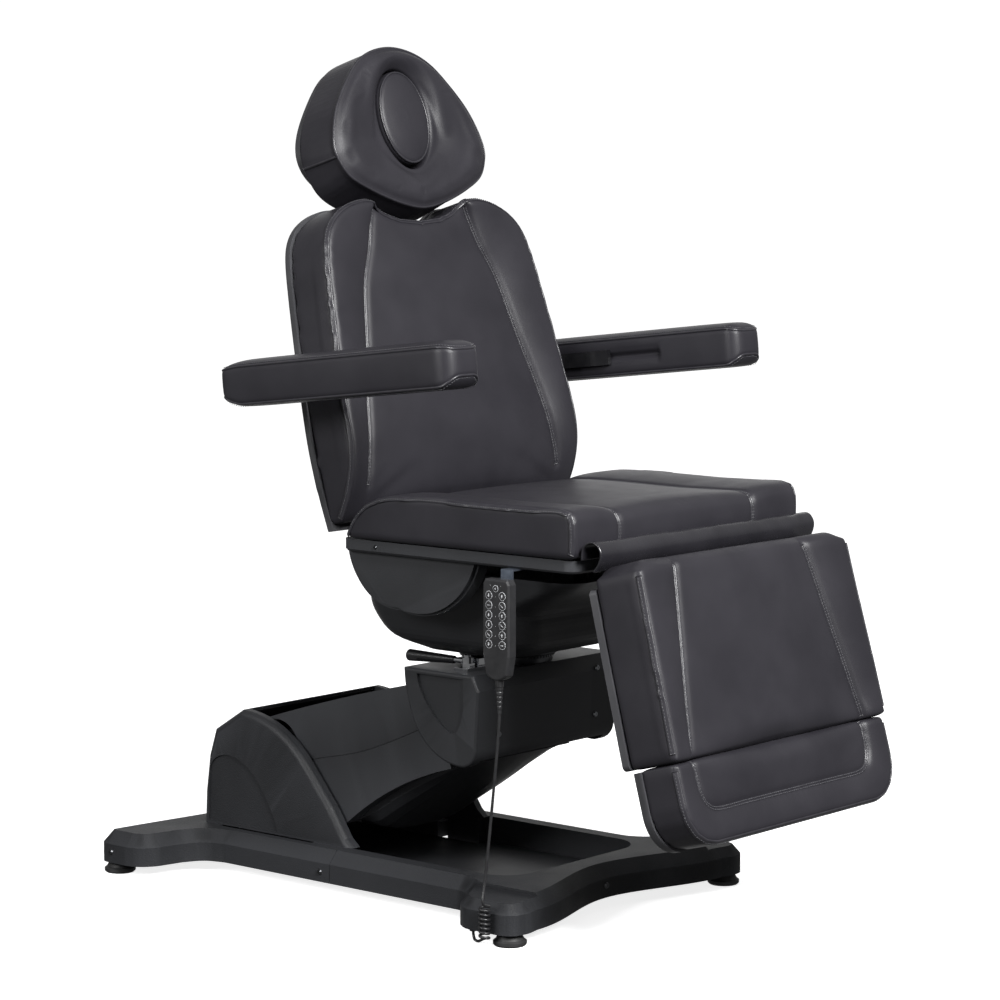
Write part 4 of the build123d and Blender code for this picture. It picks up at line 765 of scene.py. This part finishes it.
head_pad = pad("head_pad", head_rings()[::-1], 0, head_drop, head_pins, 8,
               lambda p: np.where(p[:, 2] > 8, 0.8, 0.35), loop=True)
seams = [dict(path=head_rim, closed=True, depth=1.6, width=5, profile=EDGE_WELT)]
for side in (-1, 1):
    corner = np.array([(side * 200.5, 602, n) for n in np.linspace(11, -74, 20)])
    seams.append(dict(path=corner, depth=1.2, width=4, profile=EDGE_WELT))
dress(head_pad, BACK, "headrest", seams, "headrest_cushion")


# ---------------------------------------------------------------- face pillow
def oval(a, b, count=200):
    """An ellipse about the headrest's opening."""
    turn = np.arange(count) * 2 * math.pi / count
    return np.stack([a * np.cos(turn), OVAL_AT + b * np.sin(turn)], 1)


def pillow_ring(grow, level):
    """The pillow's own outline, grown by this much, at this height."""
    return ring_at(oval(64.0 + grow, 87.0 + grow), level)


pillow_rings = [pillow_ring(0, level) for level in np.linspace(-75, 6, 14)]
pillow_rings += [pillow_ring(-0.8, 9), pillow_ring(-2.8, 11.5), pillow_ring(-6, 13.4)]
for step in range(1, 15):
    t = step / 15
    shrink = 1 - t
    crown = 13.4 + 9.5 * math.sin(t * math.pi / 2) ** 0.9
    pillow_rings.append(ring_at(oval(58 * shrink, 81 * shrink), crown))
pillow_rim = ring_at(oval(61.8, 84.8), 11.6)
face_pad = pad("face_pad", pillow_rings, 0, lambda p: p,
               lambda p: (nearest(p, pillow_rim) < 6) | (p[:, 2] < 0), 6, lambda p: np.full(len(p), 0.6))
dress(face_pad, BACK, "face_pillow", [dict(path=pillow_rim, closed=True, depth=1.0, width=4, profile=PIPE)],
      "face_pillow")

# ---------------------------------------------------------------- seat
SEAT_HALF, SEAT_SEAM = 317, 188
SEAT_PROFILE = [(-404, 666), (-423, 668), (-427, 680), (-428, 705), (-427, 728), (-423, 741), (-413, 748.5),
                (-396, 751), (-268, 748.5), (-127, 750.5), (-60, 750), (-32, 748.5), (8, 742), (43, 727),
                (72, 699), (88, 668), (80, 666)]
seat_outline = even(SEAT_PROFILE, 6.0, closed=True)


def seat_rings():
    ends = [(-317, 5), (-316.2, 2), (-314, 0.5), (-311, 0)]
    middle = [(x, 0) for x in np.linspace(-305, 305, 60)]
    out = []
    for x, by in ends + middle + [(-x, by) for x, by in reversed(ends)]:
        flat = inset(seat_outline, by)
        out.append(np.column_stack([np.full(len(flat), x), flat]))
    return out


def seat_shape(points):
    out = points.copy()
    x, y, z = points.T
    off = np.abs(x) - SEAT_SEAM
    t = np.clip(off / (SEAT_HALF - SEAT_SEAM), 0, 1)
    bolster = np.sin(np.minimum(1, t * 1.7) * math.pi / 2) ** 0.8
    inner = 4.5 * (1 - np.exp(-np.abs(off) / 50))
    drop = np.where(off > 0, 10 * (1 - bolster), 10 - inner)
    out[:, 2] -= drop * smooth((z - 690) / 50) * smooth((95 - y) / 90)
    out[:, 1] += drop * 0.45 * smooth((-380 - y) / 40) * smooth((z - 668) / 20)
    return out


seat_side_path = catmull([(-426.5, 672), (-427.5, 705), (-426, 730), (-421, 743), (-408, 749.5), (-268, 747),
                          (-127, 749.5), (-32, 747.5), (8, 741), (43, 726), (71, 699), (86, 670)], 8)
seat_rim = np.column_stack([np.full(len(seat_side_path), 315.5), seat_side_path])
seat_seam_path = catmull([(-426, 670), (-427, 690), (-426, 722), (-420, 738), (-405, 743), (-268, 740),
                          (-127, 741), (-20, 740), (20, 733)], 8)


def seat_pins(points):
    rims = np.vstack([seat_rim, seat_rim * (-1, 1, 1)])
    seam = np.abs(np.abs(points[:, 0]) - SEAT_SEAM) < 6
    return (nearest(points, rims) < 8) | seam | (points[:, 2] < 676) | (points[:, 1] > 60)


seat_pad = pad("seat_pad", seat_rings(), 6, seat_shape, seat_pins, 12,
               lambda p: np.where((np.abs(p[:, 0]) > 309) | (p[:, 1] < -418), 0.25, 0.75))
seams = []
for side in (-1, 1):
    seams.append(lap_seam(seat_rim * (side, 1, 1), side))
    across = np.full(len(seat_seam_path), side * SEAT_SEAM)
    seams.append(panel_seam(np.column_stack([across, seat_seam_path]), 3.2))
dress(seat_pad, upright, "seat", seams, "seat_cushion")

# ---------------------------------------------------------------- leg rest pad
LEG_TOP, LEG_REAR = 3, -95
LEG_HALF = [(0, 4), (150, 4), (288, 4), (296, 1), (298.5, -8), (302, -150), (306, -302), (304, -313),
            (298, -317), (150, -317), (0, -317)]
leg_outline = even(mirrored(LEG_HALF), 6.0, closed=True)
leg_seam = catmull([(183, 2), (199, -78), (215, -156), (231, -234), (246, -312)], 8)


def leg_shape(points):
    out = points.copy()
    drop = panel_height(points, leg_seam, leg_outline[np.abs(leg_outline[:, 0]) > 285], 15, 6.0, rise=1.5)
    out[:, 2] -= drop * smooth((points[:, 2] + 70) / 72)
    crown = smooth((points[:, 1] + 70) / 70) * smooth((290 - np.abs(points[:, 0])) / 30)
    out[:, 1] += 13 * crown * (0.25 + 0.75 * smooth((6 - points[:, 2]) / 26))
    return out


leg_rim_half = catmull([(296, -8), (300.5, -150), (304.5, -303)], 10)
leg_rim = ring_at(leg_rim_half, LEG_TOP - 1.5)


def leg_pins(points):
    rims = np.vstack([leg_rim, leg_rim * (-1, 1, 1)])
    both = np.vstack([leg_seam, leg_seam * (-1, 1)])
    return (nearest(points, rims) < 9) | (nearest(points[:, :2], both) < 6) | (points[:, 2] < LEG_REAR + 6)


leg_pad = pad("leg_pad", block_rings(leg_outline, LEG_REAR, LEG_TOP, 10, 8), 6,
              leg_shape, leg_pins, 9, lambda p: np.where(p[:, 2] > -25, 0.7, 0.2))
seams = []
for side in (-1, 1):
    seams.append(panel_seam(ring_at(leg_seam * (side, 1), 0), toward=INWARDS))
    seams.append(lap_seam(leg_rim * (side, 1, 1), -side))
dress(leg_pad, LEG, "leg_rest", seams, "leg_cushion")

# ---------------------------------------------------------------- foot pad
FOOT_FRONT, FOOT_REAR = -3, -76
FOOT_HALF = [(0, -317.6), (150, -317.6), (290, -317.6), (300, -319), (302, -330), (302, -360), (302, -390),
             (298, -414), (283, -438), (262, -453), (234, -460), (120, -460), (0, -460)]
foot_outline = even(mirrored(FOOT_HALF), 5.0, closed=True)
foot_u = catmull([(243, -318), (242, -350), (239, -376), (227, -395), (200, -404), (120, -404), (0, -404)], 8)
foot_u_full = np.vstack([foot_u, (foot_u * (-1, 1))[::-1][1:]])


def foot_shape(points):
    out = points.copy()
    flat = points[:, :2]
    to_u = nearest(flat, foot_u_full)
    to_rim = nearest(flat, foot_outline[foot_outline[:, 1] < -321])
    arm = foot_u[:32][::-1]
    inside = (np.abs(flat[:, 0]) < np.interp(flat[:, 1], arm[:, 1], arm[:, 0])) & (flat[:, 1] > -404)
    t = to_u / np.maximum(to_u + to_rim, 1e-6)
    bolster = np.sin(np.minimum(1, t * 1.6) * math.pi / 2) ** 0.85
    drop = np.where(inside, 10 - 4.5 * (1 - np.exp(-to_u / 30)), 10 * (1 - bolster))
    out[:, 2] -= drop * smooth((points[:, 2] + 50) / 48)
    return out


foot_rim_flat = inset(foot_outline, 2.0)
foot_rim_flat = foot_rim_flat[foot_rim_flat[:, 1] < -326]
order = np.argsort(np.arctan2(foot_rim_flat[:, 0], -(foot_rim_flat[:, 1] + 326)))
foot_rim = ring_at(foot_rim_flat[order], FOOT_FRONT - 1.5)


def foot_pins(points):
    near = (nearest(points, foot_rim) < 8) | (nearest(points[:, :2], foot_u_full) < 6)
    return near | (points[:, 2] < FOOT_REAR + 6)


foot_pad = pad("foot_pad", block_rings(foot_outline, FOOT_REAR, FOOT_FRONT, 10, 7), 5,
               foot_shape, foot_pins, 8, lambda p: np.where(p[:, 2] > -22, 0.7, 0.25))
seams = [panel_seam(ring_at(foot_u_full, 0), 2.8, 6, INWARDS), lap_seam(foot_rim, 1)]
dress(foot_pad, LEG, "foot_rest", seams, "foot_cushion")

# ---------------------------------------------------------------- armrest pads
ARM_LONG, ARM_IN, ARM_OUT = 536, 352, 440
ARM_LOW_SEAM, ARM_HIGH_SEAM, ARM_CROWN, ARM_BELLY = -34.5, 34, 10, 3.5


def rounded_box(x0, x1, y0, y1, radii):
    """A closed outline with its own radius at each corner: low-low, high-low, high-high, low-high."""
    out = []
    corners = ((x0, y0, 1, 1, 180), (x1, y0, -1, 1, 270), (x1, y1, -1, -1, 0), (x0, y1, 1, -1, 90))
    for (cx, cy, sx, sy, begin), radius in zip(corners, radii):
        for step in range(9):
            turn = math.radians(begin + 90 * step / 8)
            out.append((cx + sx * radius + radius * math.cos(turn),
                        cy + sy * radius + radius * math.sin(turn)))
    return even(out, 5.0, closed=True)


arm_outline = rounded_box(0, ARM_LONG, ARM_IN, ARM_OUT, (26, 10, 14, 30))


def arm_rings():
    rings = []
    for by, level in ((34, -ARM_BELLY), (16, -ARM_BELLY + 0.4), (6, -1.8), (1.5, -0.4)):
        rings.append((by, ARM_LOW_SEAM + level))
    for level in np.linspace(ARM_LOW_SEAM + 3, ARM_HIGH_SEAM - 2, 12):
        swell = 0.8 * math.sin(math.pi * (level - ARM_LOW_SEAM) / (ARM_HIGH_SEAM - ARM_LOW_SEAM))
        rings.append((0.8 - swell, level))
    for by, level in ((1.5, 0.6), (5, 3.2), (11, 6.0), (19, 8.4), (28, 9.6), (36, ARM_CROWN)):
        rings.append((by, ARM_HIGH_SEAM + level))
    out = []
    for by, level in rings:
        flat = inset(arm_outline, by)
        flat[:, 0] = np.clip(flat[:, 0], min(by, 40), ARM_LONG - min(by, 40))
        flat[:, 1] = np.clip(flat[:, 1], ARM_IN + by, ARM_OUT - by)
        out.append(ring_at(flat, level))
    return out


def arm_ends(points):
    """Rounds the pad's lower corners towards both ends, and its upper ones a little."""
    out = points.copy()
    rear = np.clip((points[:, 0] - ARM_LONG + 60) / 60, 0, 1)
    end = np.maximum(rear, np.clip((34 - points[:, 0]) / 34, 0, 1)) ** 2.4
    low, high = ARM_LOW_SEAM - ARM_BELLY, ARM_HIGH_SEAM + ARM_CROWN
    share = (points[:, 2] - low) / (high - low)
    out[:, 2] = (low + 20 * end) * (1 - share) + (high - 9 * end) * share
    return out


def arm_shape(points):
    """Presses the slider's slot into the inner face."""
    out = points.copy()
    a, x, b = points.T
    along = smooth((a - 178) / 5)
    wide = along * smooth((17 - np.abs(b)) / 3) * 1.6
    deep = along * smooth((8.5 - np.abs(b)) / 3.5) * 8.2
    inner = smooth((ARM_IN + 12 - x) / 8)
    out[:, 1] += np.maximum(wide, deep) * inner
    return arm_ends(out)


arm_lines = [ring_at(inset(arm_outline, 1.0), level)
             for level in (ARM_LOW_SEAM + 0.4, ARM_HIGH_SEAM - 0.4)]
arm_lines = [arm_ends(line) for line in arm_lines]


def arm_pins(points):
    slot = (points[:, 1] < ARM_IN + 12) & (np.abs(points[:, 2]) < 20) & (points[:, 0] > 170)
    return (nearest(points, np.vstack(arm_lines)) < 5) | slot


for hand, side in (("right", -1), ("left", 1)):
    arm_pad = pad(f"arm_pad_{hand}", arm_rings(), 5, arm_shape, arm_pins, 6,
                  lambda p: np.where(p[:, 1] < ARM_IN + 10, 0.15, 0.6))
    seams = [dict(path=arm_lines[0], closed=True, depth=1.3, width=4, profile=EDGE_WELT, rows=[(4.6, 0.5)]),
             dict(path=arm_lines[1], closed=True, depth=1.3, width=4, profile=EDGE_WELT, rows=[(-4.6, 0.5)])]
    dress(arm_pad, arm_place(side), f"armrest_{hand}", seams, f"armrest_pad_{hand}", mirror=side > 0)

# ---------------------------------------------------------------- flap over the gap between seat and leg rest
FLAP_LINE = [(-431.5, 667), (-434.5, 687), (-447, 697), (-463, 696), (-473, 682), (-470, 664), (-459, 648.5)]
FLAP_HALF, FLAP_THICK = 303, 2.6
flap_line = even(catmull(FLAP_LINE, 8), 2.5)
columns = np.linspace(-FLAP_HALF, FLAP_HALF, 180)
tangent = np.gradient(flap_line, axis=0)
tangent /= np.linalg.norm(tangent, axis=1, keepdims=True)
flap_out = np.stack([-tangent[:, 1], tangent[:, 0]], 1)
if flap_out[len(flap_out) // 2, 1] < 0:
    flap_out = -flap_out
layers = []
for gap in (0.0, FLAP_THICK):
    grid = []
    for x in columns:
        for k, (y, z) in enumerate(flap_line):
            share = k / (len(flap_line) - 1)
            free = math.sin(math.pi * share)
            slow, quick = Vector((x * 0.011, 3.1, 0.0)), Vector((x * 0.04, share * 2, 7.0))
            wave = free * (2.2 * noise.noise(slow) + 0.9 * noise.noise(quick))
            out = flap_out[k] * (wave + gap - FLAP_THICK)
            grid.append((x, y + out[0], z + out[1]))
    layers.append(grid)
rows_long = len(flap_line)
count = len(layers[0])
faces = []
for i in range(len(columns) - 1):
    for k in range(rows_long - 1):
        a, b = i * rows_long + k, (i + 1) * rows_long + k
        faces.append((a, b, b + 1, a + 1))
        faces.append((count + a, count + a + 1, count + b + 1, count + b))
for i in range(len(columns) - 1):
    for k in (0, rows_long - 1):
        a, b = i * rows_long + k, (i + 1) * rows_long + k
        faces.append((a, count + a, count + b, b) if k == 0 else (a, b, count + b, count + a))
for i in (0, len(columns) - 1):
    for k in range(rows_long - 1):
        a = i * rows_long + k
        faces.append((a, a + 1, count + a + 1, count + a) if i == 0 else (a, count + a, count + a + 1, a + 1))
flap = mesh_object("gap_flap_sheet", np.array(layers[0] + layers[1]) * MM, faces, "leather_gloss")
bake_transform(flap)
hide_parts("gap_flap")

# ---------------------------------------------------------------- handset print
FACE_X, KEY_PROUD = -351, 0.8
KEY_Y, KEY_ASIDE, KEY_STEP_Z, KEY_FIRST_Z, KEY_R, SMALL_R = -289, 14.5, 16.4, 601, 6.2, 4.8
keys = [(KEY_Y, KEY_FIRST_Z + 12, SMALL_R, -1)]
keys += [(KEY_Y + side * KEY_ASIDE, KEY_FIRST_Z - row * KEY_STEP_Z, KEY_R, row)
         for row in range(6) for side in (1, -1)]


def flat_loop(y, z, outer, inner, height, count=40):
    """A flat printed ring on the handset's face."""
    verts, faces = [], []
    for radius, lift in ((outer, 0), (outer - 0.1, height), (inner + 0.1, height), (inner, 0)):
        for i in range(count):
            turn = 2 * math.pi * i / count
            verts.append((FACE_X - lift, y + radius * math.cos(turn), z + radius * math.sin(turn)))
    for ring in range(4):
        a, b = ring * count, (ring + 1) % 4 * count
        for i in range(count):
            j = (i + 1) % count
            faces.append((a + i, b + i, b + j, a + j))
    return verts, faces


def flat_shape(outline, y, z, low, height):
    """A flat printed mark from its outline about (y, z)."""
    size = len(outline)
    verts = [(FACE_X - lift, y + u, z + w) for lift in (low, low + height) for u, w in outline]
    faces = [tuple(range(size)), tuple(reversed(range(size, 2 * size)))]
    faces += [(i, size + i, size + (i + 1) % size, (i + 1) % size) for i in range(size)]
    return verts, faces


UP = [(0, 3.0), (-2.2, 0.4), (-0.8, 0.4), (-0.8, -2.8), (0.8, -2.8), (0.8, 0.4), (2.2, 0.4)]
DOWN = [(-u, -w) for u, w in UP]
SEATED = [(-2.6, 2.4), (-1.8, 2.4), (-0.9, -0.4), (1.6, -0.4), (2.7, -2.6), (1.9, -2.9), (1.1, -1.3),
          (-1.5, -1.3)]
LYING = [(-3, 0.2), (3, 0.2), (3, -0.7), (-3, -0.7)]
DOT = [(0.5 * math.cos(k * math.pi / 4), 0.5 * math.sin(k * math.pi / 4)) for k in range(8)]
MARKS = [(UP, DOWN), (SEATED, LYING), (UP, DOWN), (SEATED, DOWN), (UP, SEATED), (LYING, DOWN)]
rings, marks = [], []
for number, (y, z, radius, row) in enumerate(keys):
    rings.append(flat_loop(y, z, radius + 1.0, radius + 0.35, 0.25))
    mark = DOT if row < 0 else MARKS[row][number % 2]
    scale = 2.4 if row < 0 else 1.0
    marks.append(flat_shape([(-u * scale, w * scale) for u, w in mark], y, z, KEY_PROUD - 0.1, 0.2))
    if row >= 0 and number % 2:
        rings.append(flat_shape(DOT, KEY_Y, z - 2, -0.1, 0.25))
for side in (-1, 1):
    rings.append(flat_shape(DOT, KEY_Y + side * 11, KEY_FIRST_Z + 17, -0.1, 0.25))
for name, parts, body in (("handset_key_rings", rings, "handset"),
                          ("handset_key_marks", marks, "handset_keypad")):
    verts, faces = merged(parts)
    printed = mesh_object(name, verts * MM, faces, "print")
    printed.data.shade_flat()
    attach(printed, body)


# ---------------------------------------------------------------- floor and light
def stage_material(name, colour, glow):
    """A plain matt finish that glows a little."""
    made = bpy.data.materials.new(name)
    made.use_nodes = True
    shader = made.node_tree.nodes["Principled BSDF"]
    shader.inputs["Base Color"].default_value = colour
    shader.inputs["Roughness"].default_value = 0.9
    shader.inputs["Specular IOR Level"].default_value = 0.0
    shader.inputs["Emission Color"].default_value = (1, 1, 1, 1)
    shader.inputs["Emission Strength"].default_value = glow
    return made


FLOOR_R, FLOOR_CORNERS = 30, 32
floor_turns = [a * math.pi / 16 for a in range(FLOOR_CORNERS)]
floor_mesh = bpy.data.meshes.new("floor")
floor_mesh.from_pydata([(FLOOR_R * math.cos(turn), FLOOR_R * math.sin(turn), 0) for turn in floor_turns],
                       [], [tuple(range(FLOOR_CORNERS))])
floor = bpy.data.objects.new("floor", floor_mesh)
floor_mesh.materials.append(stage_material("floor", (0.82, 0.82, 0.82, 1), 0.80))
SCENE.collection.objects.link(floor)
floor.visible_diffuse = False
floor.visible_glossy = False

world = bpy.data.worlds.new("studio")
world.use_nodes = True
sky = world.node_tree
sky_place = sky.nodes.new("ShaderNodeTexCoord").outputs["Generated"]


def sky_ramp(way, begin, end, low, high):
    """A brightness that grows with how far a direction leans this way."""
    lean = sky.nodes.new("ShaderNodeVectorMath")
    lean.operation = "DOT_PRODUCT"
    lean.inputs[1].default_value = way
    sky.links.new(sky_place, lean.inputs[0])
    ramp = sky.nodes.new("ShaderNodeMapRange")
    ramp.interpolation_type = "SMOOTHSTEP"
    for socket, value in (("From Min", begin), ("From Max", end), ("To Min", low), ("To Max", high)):
        ramp.inputs[socket].default_value = value
    sky.links.new(lean.outputs["Value"], ramp.inputs["Value"])
    return ramp.outputs["Result"]


sky_glow = sky.nodes.new("ShaderNodeMath")
sky_glow.operation = "MAXIMUM"
sky.links.new(sky_ramp((0.76, 0.65, 0.0), 0.75, 0.985, 0.0, 1.05), sky_glow.inputs[0])
sky.links.new(sky_ramp((0.0, 0.0, 1.0), -0.25, 0.8, 0.15, 0.34), sky_glow.inputs[1])
sky.links.new(sky_glow.outputs["Value"], sky.nodes["Background"].inputs["Strength"])
sky.nodes["Background"].inputs["Color"].default_value = (1.0, 1.0, 1.0, 1)
SCENE.world = world
SCENE.view_settings.view_transform = "Standard"


def soft_light(name, at, aim, size, power):
    """A round area light at this place, aimed at a point."""
    lamp = bpy.data.lights.new(name, "AREA")
    lamp.shape = "DISK"
    lamp.size = size
    lamp.energy = power
    made = bpy.data.objects.new(name, lamp)
    made.location = at
    made.rotation_euler = (Vector(aim) - Vector(at)).to_track_quat("-Z", "Y").to_euler()
    SCENE.collection.objects.link(made)


soft_light("key", (-1.2, -4.0, 3.4), (0, -0.1, 0.8), 2.4, 560)
soft_light("side", (-4.6, 0.8, 2.5), (0, -0.1, 0.8), 1.8, 150)
